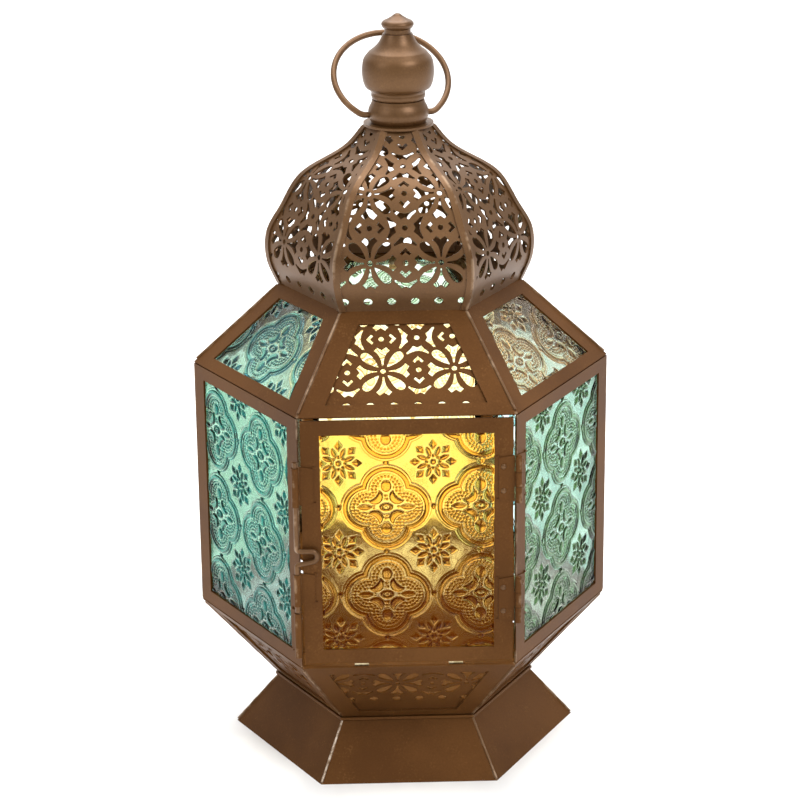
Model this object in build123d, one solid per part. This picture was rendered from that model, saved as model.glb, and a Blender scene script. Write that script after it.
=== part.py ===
from build123d import *
from math import cos, hypot, pi, sin, tan
import os

# Driving dimensions, in millimetres. Radii reach to the corners of the six-sided plan.
FOOT_R = 63.5
WAIST_R = 47.4
BODY_R = 75.0
ROOF_TOP_R = 43.5
FOOT_H = 19.0
FLOOR_T = 1.0
FLOOR_LIP = 1.0
GALLERY_H = 30.3
WALL_H = 93.0
ROOF_H = 29.1
SHEET = 0.8
SCREEN_T = 0.6
GLASS_T = 2.4
SEAM = 0.05

# Borders of the framed panels, and how far the infill reaches behind them.
GALLERY_STILE = 7.0
GALLERY_SILL = 4.0
GALLERY_HEAD = 5.0
WALL_STILE = 7.0
WALL_RAIL = 5.3
ROOF_STILE = 7.5
ROOF_SILL = 4.5
ROOF_HEAD = 5.0
GLASS_LAP = 2.0
SCREEN_LAP = 3.5

# Pressed glass of the walls: low quatrefoils on a square lattice, kept inside the window.
GLASS_PITCH = 32.5
BOSS_T = 0.35
BOSS_EDGE = 0.6
LOBE_END = 14.4
LOBE_HALF = 4.6
LOBE_NOTCH = 8.0
LEFT_MOTIF_AT = (10.1, -7.9)
RIGHT_MOTIF_AT = (1.0, -8.5)

# Tin clips that hold the panes.
CLIP_T = 0.5
CLIP_W = 6.0
CLIP_TONGUE = 3.0
CLIP_PLAY = 0.05
WALL_CLIPS_AT = (-15.0,)
ROOF_CLIPS_AT = (0.0,)
DOOR_CLIPS_AT = (-24.0, 24.0)

# Fold lines of one dome gore above the roof: corner radius and height.
DOME_FOLDS = (
    (ROOF_TOP_R, 0.0),
    (47.1, 9.3),
    (46.9, 19.1),
    (41.8, 28.5),
    (35.9, 38.5),
    (16.7, 51.6),
    (12.0, 57.4),
)
RIB_W = 2.0
RIB_T = 0.6
CROWN_T = 0.8
CROWN_LIP = 0.4

# Turned finial: radius and height above the crown for each piece.
COLLAR_LINE = ((9.5, 0.0), (10.7, 3.2), (9.2, 8.2))
BULB_LINE = ((8.8, 0.0), (12.6, 11.4), (8.4, 18.6), (5.2, 23.2))
CAP_LINE = ((4.6, 0.0), (5.7, 2.6), (1.2, 7.0))

# Carrying ring: wire, circle, bend at its ends, and how it leans in the photograph.
RING_WIRE_R = 1.1
RING_R = 20.5
RING_CENTRE = 16.0
RING_BEND = 4.0
RING_PIVOT_H = 3.0
RING_PLAY = 0.06
RING_IN = 3.2
RING_LEAN = 50.0
RING_TURN = 10.0
WIRE_SIDES = 6
BARREL_SIDES = 8

# Door in the front side.
DOOR_SIDE_GAP = 1.1
DOOR_FOOT_GAP = 1.7
DOOR_HEAD_GAP = 1.3
DOOR_STILE = 6.5
STOP_AT = 16.5
STOP_W = 5.0
STOP_T = 0.8
STOP_RISE = 4.6
STOP_GAP = 0.3

# Rolled hinges on the right corner.
HINGE_LEAF_T = 0.5
HINGE_LEAF_W = 6.4
HINGE_BARREL_R = 1.2
HINGE_PIN_R = 0.6
HINGE_PLAY = 0.04
HINGE_STANDOFF = 1.25
HINGE_H = 16.8
HINGE_HEIGHTS = (67.0, 111.7)
KNUCKLE_GAP = 0.15
LEAF_CLEAR = 0.6
PIN_HEAD_R = 1.1
PIN_HEAD_T = 0.5

# Wire bolt on the left corner, drawn just clear of its keeper.
BOLT_R = 0.85
BOLT_PLAY = 0.05
SLEEVE_R = 1.3
SLEEVE_STANDOFF = 1.6
SLEEVE_LEAF_W = 5.6
UPPER_SLEEVE = (111.7, 125.8)
MIDDLE_SLEEVE = (74.9, 86.6)
KEEPER = (55.5, 72.2)
BOLT_REST_GAP = 0.3
BOLT_DROP = 2.4
HANDLE_REACH = 7.0
HANDLE_DROP = 5.0
HANDLE_BEND = 1.3
BOLT_ABOVE = 2.0
BEND_CHORDS = 3

# Pierced pattern: flowers on a square lattice, with four darts in every gap between them.
PITCH = 24.5
EDGE = 1.2
DOT_SIDES = 4
ROW_DOT_R = 1.55
ROW_DOT_PITCH = 8.15
PETAL_POINT = 2.2
PETAL_BELLY_AT = 6.8
PETAL_BELLY = 1.9
PETAL_END_AT = 9.6
PETAL_END = 0.9
FISHTAIL = {"point": 2.2, "notch": 8.0, "wing_at": 8.9, "wing": 2.6}
BROAD_DART = {"point": 2.9, "notch": 5.1, "wing_at": 6.0, "wing": 3.8}
DOME_FLOWER_AT = (13.1, 18.5)
DOME_DOTS_AT = 3.9
ROOF_FLOWER_AT = (-7.6, 17.4)
ROOF_DOTS_AT = 4.2
GALLERY_FLOWER_AT = (-3.8, 24.2)
GALLERY_DOTS_AT = 12.3

# Levels and plan of the six sides.
FLOOR_Z = FOOT_H
GALLERY_Z = FLOOR_Z + FLOOR_T
WALL_Z = GALLERY_Z + GALLERY_H
ROOF_Z = WALL_Z + WALL_H
DOME_Z = ROOF_Z + ROOF_H
CROWN_Z = DOME_Z + DOME_FOLDS[-1][1]
COLLAR_Z = CROWN_Z + CROWN_T
BULB_Z = COLLAR_Z + COLLAR_LINE[-1][1]
CAP_Z = BULB_Z + BULB_LINE[-1][1]
COS30 = cos(pi / 6)
TAN30 = tan(pi / 6)
BODY_A = BODY_R * COS30
SIDE_NAMES = ("front", "front_right", "back_right", "back", "back_left", "front_left")
SIDES = {name: 360 / len(SIDE_NAMES) * k - 90 for k, name in enumerate(SIDE_NAMES)}
PIERCED_ROOF = ("front", "back_right", "back_left")


def save(name, *shapes):
    """Write the solids of one piece, or of one set of like pieces."""
    solids = [solid for shape in shapes for solid in shape.solids()]
    export_step(Compound(solids) if len(solids) > 1 else solids[0], f"parts/{name}.step")


def prism(corners, height):
    """A flat outline drawn straight up."""
    return extrude(Polygon(*corners, align=None), height, dir=(0, 0, 1))


def facing(shape, side):
    """Turn what was made facing +X to one of the six sides."""
    return shape.rotate(Axis.Z, SIDES[side])


def wedge(low_z, high_z):
    """The sixth of the plan that faces +X, drawn in by the seam at both mitres."""
    tip = SEAM / sin(pi / 6)
    reach = 2 * BODY_R
    half = (reach - tip) * TAN30
    plan = [(tip, 0), (reach, -half), (reach, half)]
    return Pos(0, 0, low_z) * prism(plan, high_z - low_z)


class Side:
    """A flat side facing +X: u runs along it, v up it, and w outwards from its face."""

    def __init__(self, low_r, low_z, high_r, high_z):
        rise = high_z - low_z
        draw = (high_r - low_r) * COS30
        self.length = hypot(rise, draw)
        self.low_half = low_r / 2
        self.high_half = high_r / 2
        normal = (rise / self.length, 0, -draw / self.length)
        self.plane = Plane(origin=(low_r * COS30, 0, low_z), x_dir=(0, 1, 0), z_dir=normal)

    def half_at(self, v):
        return self.low_half + (self.high_half - self.low_half) * v / self.length

    def outline(self, stile, sill, head):
        """Corners of the panel drawn in by its borders."""
        lean = hypot(self.length, self.high_half - self.low_half) / self.length
        low, high = sill, self.length - head
        low_u = self.half_at(low) - stile * lean
        high_u = self.half_at(high) - stile * lean
        return [(-low_u, low), (low_u, low), (high_u, high), (-high_u, high)]

    def plate(self, corners, depth, thickness):
        """A flat plate whose outer face lies the given depth behind the side's face."""
        return self.plane * Pos(0, 0, -depth - thickness) * prism(corners, thickness)

    def strip(self, section, middle, width):
        """A section in v and w, drawn along u."""
        across = Plane(origin=(middle - width / 2, 0, 0), x_dir=(0, 1, 0), z_dir=(1, 0, 0))
        return self.plane * (across * prism(section, width))

    def inside(self, stile, sill, head):
        """Whether a point lies on the panel drawn in by its borders."""
        lean = hypot(self.length, self.high_half - self.low_half) / self.length
        return lambda u, v: (
            sill <= v <= self.length - head and abs(u) <= self.half_at(v) - stile * lean
        )


def frame(side, low_z, high_z, stile, sill, head):
    """A sheet border with mitred edges and an open window."""
    blank = side.plate(side.outline(-stile, 0, 0), 0, SHEET) & wedge(low_z, high_z)
    window = side.plate(side.outline(stile, sill, head), -SHEET, 3 * SHEET)
    return blank - window


def clip(side, edge, outward, reach, middle):
    """A tin clip: its foot on the border, its tongue over the back of the pane."""
    back = -SHEET - GLASS_T
    section = [
        (edge - outward * CLIP_TONGUE, back),
        (edge - outward * CLIP_TONGUE, back - CLIP_T),
        (edge + outward * (CLIP_PLAY + CLIP_T), back - CLIP_T),
        (edge + outward * (CLIP_PLAY + CLIP_T), -SHEET - CLIP_T),
        (edge + outward * reach, -SHEET - CLIP_T),
        (edge + outward * reach, -SHEET),
        (edge + outward * CLIP_PLAY, -SHEET),
        (edge + outward * CLIP_PLAY, back),
    ]
    return side.strip(section, middle, CLIP_W)


# The pierced pattern.
def placed(outline, at, angle=0):
    """An outline turned about its motif's centre and moved there."""
    c, s = cos(angle), sin(angle)
    return [(at[0] + u * c - v * s, at[1] + u * s + v * c) for u, v in outline]


def dot(at):
    """A small punched dot, with flat sides."""
    angles = [2 * pi * k / DOT_SIDES for k in range(DOT_SIDES)]
    return [(at[0] + ROW_DOT_R * cos(angle), at[1] + ROW_DOT_R * sin(angle)) for angle in angles]


def dart(point, notch, wing_at, wing):
    """A notched arrowhead on the motif's axis, its wings to either side."""
    return [(point, 0), (wing_at, -wing), (notch, 0), (wing_at, wing)]


def flower(at):
    """Four round petals on the diagonals and four fishtails on the axes."""
    petal = [
        (PETAL_POINT, 0),
        (PETAL_BELLY_AT, -PETAL_BELLY),
        (PETAL_END_AT, -PETAL_END),
        (PETAL_END_AT, PETAL_END),
        (PETAL_BELLY_AT, PETAL_BELLY),
    ]
    fishtail = dart(**FISHTAIL)
    quarter = [k * pi / 2 for k in range(4)]
    petals = [placed(petal, at, angle + pi / 4) for angle in quarter]
    tails = [placed(fishtail, at, angle) for angle in quarter]
    return petals + tails


def cross(at):
    """Four broad darts that point at one centre."""
    broad = dart(**BROAD_DART)
    return [placed(broad, at, k * pi / 2) for k in range(4)]


def lattice(at, inside, rows, columns=range(-2, 3)):
    """The outlines of the lattice that fall wholly inside a region."""
    half = PITCH / 2
    outlines = []
    for i in columns:
        for j in rows:
            u, v = at[0] + i * PITCH, at[1] + j * PITCH
            outlines += flower((u, v))
            outlines += cross((u + half, v + half))
    return [outline for outline in outlines if all(inside(u, v) for u, v in outline)]


def dot_row(v, inside):
    """A row of dots along the foot of a pierced sheet."""
    dots = [dot(((k + 0.5) * ROW_DOT_PITCH, v)) for k in range(-4, 4)]
    return [outline for outline in dots if all(inside(u, w) for u, w in outline)]


def pierced_plate(side, corners, outlines):
    """A thin sheet behind a border, with its pattern cut square through it."""
    sheet = side.plate(corners, SHEET, SCREEN_T)
    return sheet - [side.plate(outline, 0, SHEET + 2 * SCREEN_T) for outline in outlines]


# The dome.
def shifted(line, distance):
    """A folded line moved sideways, outwards if positive, with mitred folds."""
    steps = [Vector(*b) - Vector(*a) for a, b in zip(line, line[1:])]
    normals = [Vector(step.Y, -step.X).normalized() for step in steps]
    before = [normals[0], *normals]
    after = [*normals, normals[-1]]
    moved = []
    for (x, z), m, n in zip(line, before, after):
        mitre = (m + n).normalized()
        shift = mitre * (distance / mitre.dot(n))
        moved.append((x + shift.X, z + shift.Y))
    return moved


def gore_line():
    """The gore's middle line: apothem and height, run on past both ends for trimming."""
    line = [(r * COS30, DOME_Z + h) for r, h in DOME_FOLDS]
    first = Vector(*line[0]) - (Vector(*line[1]) - Vector(*line[0])).normalized() * 2 * SHEET
    last = Vector(*line[-1]) + (Vector(*line[-1]) - Vector(*line[-2])).normalized() * 2 * SHEET
    return [(first.X, first.Y), *line[1:-1], (last.X, last.Y)]


def folded_sheet(inner, outer):
    """A sheet folded along the gore's line, between two offsets from it, full width."""
    line = gore_line()
    section = Polygon(*shifted(line, inner), *reversed(shifted(line, outer)), align=None)
    return extrude(Plane.XZ * section, BODY_R, both=True)


def gore_outlines():
    """Each hole of a gore with the plane it is cut on."""
    line = [(r * COS30, DOME_Z + h) for r, h in DOME_FOLDS]
    lengths = [hypot(b[0] - a[0], b[1] - a[1]) for a, b in zip(line, line[1:])]
    starts = [sum(lengths[:k]) for k in range(len(lengths))]

    def facet(s):
        k = max(i for i, start in enumerate(starts) if i == 0 or s >= start)
        a, b = Vector(line[k][0], 0, line[k][1]), Vector(line[k + 1][0], 0, line[k + 1][1])
        along = (b - a).normalized()
        return a + along * (s - starts[k]), Vector(along.Z, 0, -along.X)

    def inside(u, s):
        return EDGE <= s <= sum(lengths) - EDGE and abs(u) <= facet(s)[0].X * TAN30 - EDGE

    low, high = DOME_DOTS_AT + ROW_DOT_R + EDGE, starts[-1]
    outlines = lattice(DOME_FLOWER_AT, lambda u, s: inside(u, s) and low < s < high, range(0, 2))
    outlines += dot_row(DOME_DOTS_AT, inside)
    for outline in outlines:
        middle = sum(s for u, s in outline) / len(outline)
        origin, normal = facet(middle)
        plane = Plane(origin=origin, x_dir=(0, 1, 0), z_dir=normal)
        yield plane, [(u, s - middle) for u, s in outline]


def gore():
    """One folded, pierced sixth of the dome."""
    blank = folded_sheet(-SCREEN_T, 0) & wedge(DOME_Z, CROWN_Z)
    cutters = [
        plane * Pos(0, 0, -3 * SCREEN_T) * prism(outline, 5 * SCREEN_T)
        for plane, outline in gore_outlines()
    ]
    return blank - cutters


def rib():
    """A folded strip over the seam between two gores, a flange on each."""
    reach = 2 * BODY_R
    half_plan = [(0, -RIB_W), (reach, reach * TAN30 - RIB_W), (reach, reach * TAN30), (0, 0)]
    beside_seam = Pos(0, 0, DOME_Z) * prism(half_plan, CROWN_Z - DOME_Z)
    flange = (folded_sheet(0, RIB_T) & beside_seam).rotate(Axis.Z, -30)
    return (flange + flange.mirror(Plane.XZ)).rotate(Axis.Z, 30)


# The turned finial and the ring.
def turned(line, base_z):
    """A solid of revolution from its outer line."""
    profile = [(0, base_z), *((r, base_z + h) for r, h in line), (0, base_z + line[-1][1])]
    return revolve(Plane.XZ * Polygon(*profile, align=None), Axis.Z)


def ring_path():
    """The ring's wire, upright, with its pivot at the origin: two pintles, two bends, one arc."""
    end = ((RING_R - RING_CENTRE) * (RING_R + RING_CENTRE - 2 * RING_BEND)) ** 0.5
    small = RING_R - RING_BEND
    centre = Vector(0, RING_CENTRE)
    meet = centre + (Vector(end, RING_BEND) - centre) * (RING_R / small)
    pintle = Line((end - RING_IN, 0), (end, 0))
    bend = TangentArc((end, 0), (meet.X, meet.Y), tangent=(1, 0))
    top = RING_CENTRE + RING_R
    arc = ThreePointArc((meet.X, meet.Y), (0, top), (-meet.X, meet.Y))
    return Wire([pintle, bend, arc, bend.mirror(Plane.YZ), pintle.mirror(Plane.YZ)]), end


def carry_ring():
    path, end = ring_path()
    start = Plane(origin=(end - RING_IN, 0, 0), x_dir=(0, 1, 0), z_dir=(1, 0, 0))
    wire = sweep(start * RegularPolygon(RING_WIRE_R, WIRE_SIDES), path)
    upright = wire.rotate(Axis.X, 90)
    leaned = upright.rotate(Axis.X, -RING_LEAN).rotate(Axis.Z, RING_TURN)
    return Pos(0, 0, COLLAR_Z + RING_PIVOT_H) * leaned


def finial_collar():
    section = RegularPolygon(RING_WIRE_R + RING_PLAY, BARREL_SIDES, major_radius=False)
    bore = Rot(0, 0, RING_TURN) * extrude(Plane.YZ * section, BODY_R, both=True)
    return turned(COLLAR_LINE, COLLAR_Z) - Pos(0, 0, COLLAR_Z + RING_PIVOT_H) * bore


# Hardware at the front corners. It is made on the front side at the right corner, then mirrored.
def corner_axis(standoff):
    """A vertical line outside the corner, equally far from the two sides that meet there."""
    out = standoff / COS30
    return Vector(BODY_R / 2 + out / 2, -BODY_A - standoff)


def rolled_leaf(axis, barrel_r, bore_r, width, span, knuckles):
    """A flat leaf on the front side, with knuckles rolled round the axis."""
    low, high = span
    near = axis.X - barrel_r - LEAF_CLEAR
    flat = Pos(near - width / 2, -BODY_A - HINGE_LEAF_T / 2) * Rectangle(width, HINGE_LEAF_T)
    leaf = Pos(0, 0, low) * extrude(flat, high - low)
    neck_w = barrel_r + LEAF_CLEAR
    neck = Pos(axis.X - neck_w / 2, -BODY_A - HINGE_LEAF_T / 2) * Rectangle(neck_w, HINGE_LEAF_T)
    at_axis = Pos(axis.X, axis.Y)
    barrel = at_axis * RegularPolygon(barrel_r, BARREL_SIDES)
    bore = at_axis * RegularPolygon(bore_r, BARREL_SIDES, major_radius=False)
    loop = neck - barrel + (barrel - bore)
    for start, end in knuckles:
        leaf += Pos(0, 0, start) * extrude(loop, end - start)
    return leaf


def over_corner(shape):
    """Mirror from the front side to the side round the right corner."""
    return shape.mirror(Plane(origin=(0, 0, 0), x_dir=(0, 0, 1), z_dir=(COS30, 0.5, 0)))


def hinge(low):
    """The door's leaf, the frame's leaf and the pin of one hinge."""
    axis = corner_axis(HINGE_STANDOFF)
    bore = HINGE_PIN_R + HINGE_PLAY
    high = low + HINGE_H
    third = HINGE_H / 3
    span = (low, high)
    middle = [(low + third + KNUCKLE_GAP, high - third - KNUCKLE_GAP)]
    outer = [(low, low + third), (high - third, high)]
    door_leaf = rolled_leaf(axis, HINGE_BARREL_R, bore, HINGE_LEAF_W, span, middle)
    frame_leaf = over_corner(rolled_leaf(axis, HINGE_BARREL_R, bore, HINGE_LEAF_W, span, outer))
    shank = extrude(RegularPolygon(HINGE_PIN_R, WIRE_SIDES), HINGE_H)
    head = Pos(0, 0, HINGE_H) * extrude(RegularPolygon(PIN_HEAD_R, WIRE_SIDES), PIN_HEAD_T)
    pin = Pos(axis.X, axis.Y, low) * (shank + head)
    return door_leaf, frame_leaf, pin


def sleeve(span):
    """A rolled sleeve for the bolt, made at the right corner."""
    axis = corner_axis(SLEEVE_STANDOFF)
    return rolled_leaf(axis, SLEEVE_R, BOLT_R + BOLT_PLAY, SLEEVE_LEAF_W, span, [span])


def bolt():
    """The bent wire bolt with its hairpin handle, its tip just above the keeper."""
    axis = corner_axis(SLEEVE_STANDOFF)
    left = -axis.X
    tip = KEEPER[1] + BOLT_REST_GAP
    low = MIDDLE_SLEEVE[1] + BOLT_DROP + BOLT_REST_GAP + BOLT_R
    high = low + HANDLE_DROP
    route = [
        (left, 0, UPPER_SLEEVE[1] + BOLT_ABOVE),
        (left, 0, high),
        (left + HANDLE_REACH, 0, high),
        (left + HANDLE_REACH, 0, low),
        (left, 0, low),
        (left, 0, tip),
    ]
    path = FilletPolyline(*route, radius=HANDLE_BEND)
    chords = [path.edges()[0] @ 0]
    for edge in path.edges():
        steps = BEND_CHORDS if edge.geom_type == GeomType.CIRCLE else 1
        chords += [edge @ (k / steps) for k in range(1, steps + 1)]
    start = Plane(origin=route[0], x_dir=(1, 0, 0), z_dir=(0, 0, -1))
    wire = start * RegularPolygon(BOLT_R, WIRE_SIDES)
    return Pos(0, axis.Y, 0) * sweep(wire, Polyline(*chords), transition=Transition.RIGHT)


# The foot, floor and lower gallery.
def base():
    foot = Side(FOOT_R, 0, WAIST_R, FOOT_H)
    run_on = foot.outline(-FOOT_R, -2 * SHEET, -2 * SHEET)
    panel = foot.plate(run_on, 0, SHEET) & wedge(0, FOOT_H)
    save("foot_panels", *(facing(panel, side) for side in SIDES))

    floor = extrude(RegularPolygon(WAIST_R + FLOOR_LIP, 6), FLOOR_T)
    save("floor_plate", Pos(0, 0, FLOOR_Z) * floor)

    gallery = Side(WAIST_R, GALLERY_Z, BODY_R, WALL_Z)
    border = frame(gallery, FLOOR_Z, ROOF_Z, GALLERY_STILE, GALLERY_SILL, GALLERY_HEAD)
    corners = gallery.outline(
        GALLERY_STILE - SCREEN_LAP, GALLERY_SILL - SCREEN_LAP + SHEET, GALLERY_HEAD - GLASS_LAP
    )
    inside = gallery.inside(GALLERY_STILE, GALLERY_SILL, GALLERY_HEAD)
    holes = flower(GALLERY_FLOWER_AT) + dot_row(GALLERY_DOTS_AT, inside)
    screen = pierced_plate(gallery, corners, holes)
    for side in SIDES:
        save(f"gallery_frame_{side}", facing(border, side))
    save("gallery_screens", *(facing(screen, side) for side in SIDES))
    save("door_stops", *door_stops(gallery))


def door_stops(gallery):
    """Two tabs on the front border's head, just behind the foot of the door."""
    out = BODY_A - SHEET - STOP_GAP
    normal = gallery.plane.z_dir
    start = gallery.plane.origin - normal * SHEET

    def seat_z(x):
        return start.Z - (x - start.X) * normal.X / normal.Z

    section = [
        (out - STOP_T, seat_z(out - STOP_T)),
        (out, seat_z(out)),
        (out, WALL_Z + STOP_RISE),
        (out - STOP_T, WALL_Z + STOP_RISE),
    ]
    tab = extrude(Plane.XZ * Polygon(*section, align=None), STOP_W / 2, both=True)
    return [facing(Pos(0, at, 0) * tab, "front") for at in (-STOP_AT, STOP_AT)]


# The walls and the roof.
def glazed(side, stile, sill, head, clip_at):
    """A pane behind a border, and the clips at its head and foot."""
    corners = side.outline(stile - GLASS_LAP, sill - GLASS_LAP, head - GLASS_LAP)
    pane = side.plate(corners, SHEET, GLASS_T)
    low, high = sill - GLASS_LAP, side.length - head + GLASS_LAP
    foot_reach = sill - GLASS_LAP - 2 * CLIP_T
    head_reach = head - GLASS_LAP - 2 * CLIP_T
    clips = [clip(side, low, -1, foot_reach, at) for at in clip_at]
    clips += [clip(side, high, 1, head_reach, at) for at in clip_at]
    return pane, clips


def quatrefoil(at):
    """Four lobes on the axes, their ends flat, with a notch between each two."""
    lobe = [(LOBE_END, -LOBE_HALF), (LOBE_END, LOBE_HALF), (LOBE_NOTCH, LOBE_NOTCH)]
    return [corner for k in range(4) for corner in placed(lobe, at, k * pi / 2)]


def pressed(side, pane, stile, sill, head, motif_at):
    """The pane with the main forms of its relief, raised in the border's window."""
    depth = SHEET - BOSS_T
    edges = side.outline(stile + BOSS_EDGE, sill + BOSS_EDGE, head + BOSS_EDGE)
    window = side.plate(edges, depth, BOSS_T)
    steps = [k * GLASS_PITCH for k in range(-2, 3)]
    middle = motif_at[1] + side.length / 2
    centres = [(motif_at[0] + across, middle + up) for across in steps for up in steps]
    on_side = side.inside(0, 0, 0)
    shown = [quatrefoil(at) for at in centres if on_side(*at)]
    bosses = Part() + [side.plate(outline, depth, BOSS_T) for outline in shown]
    return pane + (bosses & window)


def walls():
    side = Side(BODY_R, WALL_Z, BODY_R, ROOF_Z)
    gallery_rise = Side(WAIST_R, GALLERY_Z, BODY_R, WALL_Z).plane.z_dir.Z
    roof_fall = Side(BODY_R, ROOF_Z, ROOF_TOP_R, DOME_Z).plane.z_dir.Z
    low, high = WALL_Z - gallery_rise * SHEET, ROOF_Z - roof_fall * SHEET
    border = frame(side, low, high, WALL_STILE, WALL_RAIL, WALL_RAIL)
    pane, clips = glazed(side, WALL_STILE, WALL_RAIL, WALL_RAIL, WALL_CLIPS_AT)
    glazed_sides = [name for name in SIDES if name != "front"]
    for name in glazed_sides:
        motif_at = RIGHT_MOTIF_AT if "right" in name else LEFT_MOTIF_AT
        glass = pressed(side, pane, WALL_STILE, WALL_RAIL, WALL_RAIL, motif_at)
        save(f"wall_frame_{name}", facing(border, name))
        save(f"wall_glass_{name}", facing(glass, name))
    save("wall_glass_clips", *(facing(piece, name) for name in glazed_sides for piece in clips))


def roof():
    side = Side(BODY_R, ROOF_Z, ROOF_TOP_R, DOME_Z)
    border = frame(side, WALL_Z, CROWN_Z, ROOF_STILE, ROOF_SILL, ROOF_HEAD)
    pane, clips = glazed(side, ROOF_STILE, ROOF_SILL, ROOF_HEAD, ROOF_CLIPS_AT)
    corners = side.outline(ROOF_STILE - SCREEN_LAP, ROOF_SILL - SCREEN_LAP, ROOF_HEAD - SCREEN_LAP)
    stile, head = ROOF_STILE - SCREEN_LAP + EDGE, ROOF_HEAD - SCREEN_LAP + EDGE
    above_dots = ROOF_DOTS_AT + ROW_DOT_R + EDGE
    holes = lattice(ROOF_FLOWER_AT, side.inside(stile, above_dots, head), range(-1, 2))
    holes += dot_row(ROOF_DOTS_AT, side.inside(stile, ROOF_DOTS_AT - ROW_DOT_R, head))
    screen = pierced_plate(side, corners, holes)
    glazed_sides = [name for name in SIDES if name not in PIERCED_ROOF]
    for name in SIDES:
        save(f"roof_frame_{name}", facing(border, name))
    for name in PIERCED_ROOF:
        save(f"roof_screen_{name}", facing(screen, name))
    for name in glazed_sides:
        save(f"roof_glass_{name}", facing(pane, name))
    save("roof_glass_clips", *(facing(piece, name) for name in glazed_sides for piece in clips))


def dome():
    sheet = gore()
    for name in SIDES:
        save(f"dome_gore_{name}", facing(sheet, name))
    strip = rib()
    save("dome_ribs", *(facing(strip, name) for name in SIDES))
    crown = extrude(Circle(DOME_FOLDS[-1][0] + CROWN_LIP), CROWN_T)
    save("dome_crown", Pos(0, 0, CROWN_Z) * crown)


def finial():
    save("finial_collar", finial_collar())
    save("finial_bulb", turned(BULB_LINE, BULB_Z))
    save("finial_cap", turned(CAP_LINE, CAP_Z))
    save("carry_ring", carry_ring())


# The door with its hinges and bolt.
def door():
    low = WALL_Z + DOOR_FOOT_GAP
    high = ROOF_Z - DOOR_HEAD_GAP
    width = BODY_R - 2 * DOOR_SIDE_GAP
    side = Side(BODY_R, low, BODY_R, high)
    side.low_half = width / 2
    side.high_half = width / 2
    blank = side.plate(side.outline(0, 0, 0), 0, SHEET)
    window = side.plate(side.outline(DOOR_STILE, WALL_RAIL, WALL_RAIL), -SHEET, 3 * SHEET)
    pane, clips = glazed(side, DOOR_STILE, WALL_RAIL, WALL_RAIL, DOOR_CLIPS_AT)
    save("door_frame", facing(blank - window, "front"))
    save("door_glass", facing(pane, "front"))
    save("door_glass_clips", *(facing(piece, "front") for piece in clips))

    hinges = [hinge(height) for height in HINGE_HEIGHTS]
    for name, pieces in zip(("hinge_leaves_door", "hinge_leaves_frame", "hinge_pins"), zip(*hinges)):
        save(name, *pieces)

    save("bolt_sleeves", *(sleeve(span).mirror(Plane.YZ) for span in (UPPER_SLEEVE, MIDDLE_SLEEVE)))
    save("bolt_keeper", over_corner(sleeve(KEEPER)).mirror(Plane.YZ))
    save("latch_bolt", bolt())


os.makedirs("parts", exist_ok=True)
base()
walls()
roof()
dome()
finial()
door()
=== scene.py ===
from math import atan2, cos, hypot, pi, radians, sin, tan

import bmesh
import bpy
import numpy as np
from mathutils import Matrix, Vector


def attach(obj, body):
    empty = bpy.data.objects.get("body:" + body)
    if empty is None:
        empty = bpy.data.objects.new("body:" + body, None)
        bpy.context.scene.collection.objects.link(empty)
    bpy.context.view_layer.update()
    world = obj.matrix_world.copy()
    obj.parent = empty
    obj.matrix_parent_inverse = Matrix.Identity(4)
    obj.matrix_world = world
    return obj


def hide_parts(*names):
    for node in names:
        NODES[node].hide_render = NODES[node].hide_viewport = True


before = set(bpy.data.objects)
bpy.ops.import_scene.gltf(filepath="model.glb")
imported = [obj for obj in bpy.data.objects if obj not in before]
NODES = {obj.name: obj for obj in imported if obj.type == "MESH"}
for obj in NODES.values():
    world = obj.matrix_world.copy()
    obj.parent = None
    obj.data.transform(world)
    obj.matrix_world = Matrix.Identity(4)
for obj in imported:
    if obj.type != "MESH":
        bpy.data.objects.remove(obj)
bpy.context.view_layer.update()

# Sizes of the lantern in millimetres, as the solids have them. Radii reach to the corners.
MM = 0.001
WELD = 0.001
COS30 = cos(pi / 6)
TAN30 = tan(pi / 6)
BODY_R = 75.0
WAIST_R = 47.4
FOOT_R = 63.5
ROOF_TOP_R = 43.5
FOOT_H = 19.0
GALLERY_Z = 20.0
WALL_Z = 50.3
ROOF_Z = 143.3
DOME_Z = 172.4
SHEET = 0.8
SCREEN_T = 0.6
GLASS_T = 2.4
GLASS_LAP = 2.0
SCREEN_LAP = 3.5
WALL_STILE, WALL_RAIL, DOOR_STILE = 7.0, 5.3, 6.5
ROOF_STILE, ROOF_SILL, ROOF_HEAD = 7.5, 4.5, 5.0
GALLERY_STILE, GALLERY_SILL, GALLERY_HEAD = 7.0, 4.0, 5.0
DOOR_SIDE_GAP, DOOR_FOOT_GAP, DOOR_HEAD_GAP = 1.1, 1.7, 1.3
SIDE_NAMES = ("front", "front_right", "back_right", "back", "back_left", "front_left")
SIDES = {name: 60 * k - 90 for k, name in enumerate(SIDE_NAMES)}
GLASS_OF = {
    "wall_glass_front_right": "green",
    "wall_glass_back_right": "sea",
    "wall_glass_back": "straw_backlit",
    "wall_glass_back_left": "mint_backlit",
    "wall_glass_front_left": "teal",
    "roof_glass_front_right": "honey",
    "roof_glass_back": "mint_backlit",
    "roof_glass_front_left": "sea",
    "door_glass": "amber",
}
# Paler tints of four of the glasses, each kept to the slot of its own glass. On the back panes the
# paleness is painted light, standing for the light that shines through them from behind; the front
# roof panes use the same paler tints.
PALER = {"straw_backlit": "amber", "honey": "amber", "sea": "teal", "mint_backlit": "green"}


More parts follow.
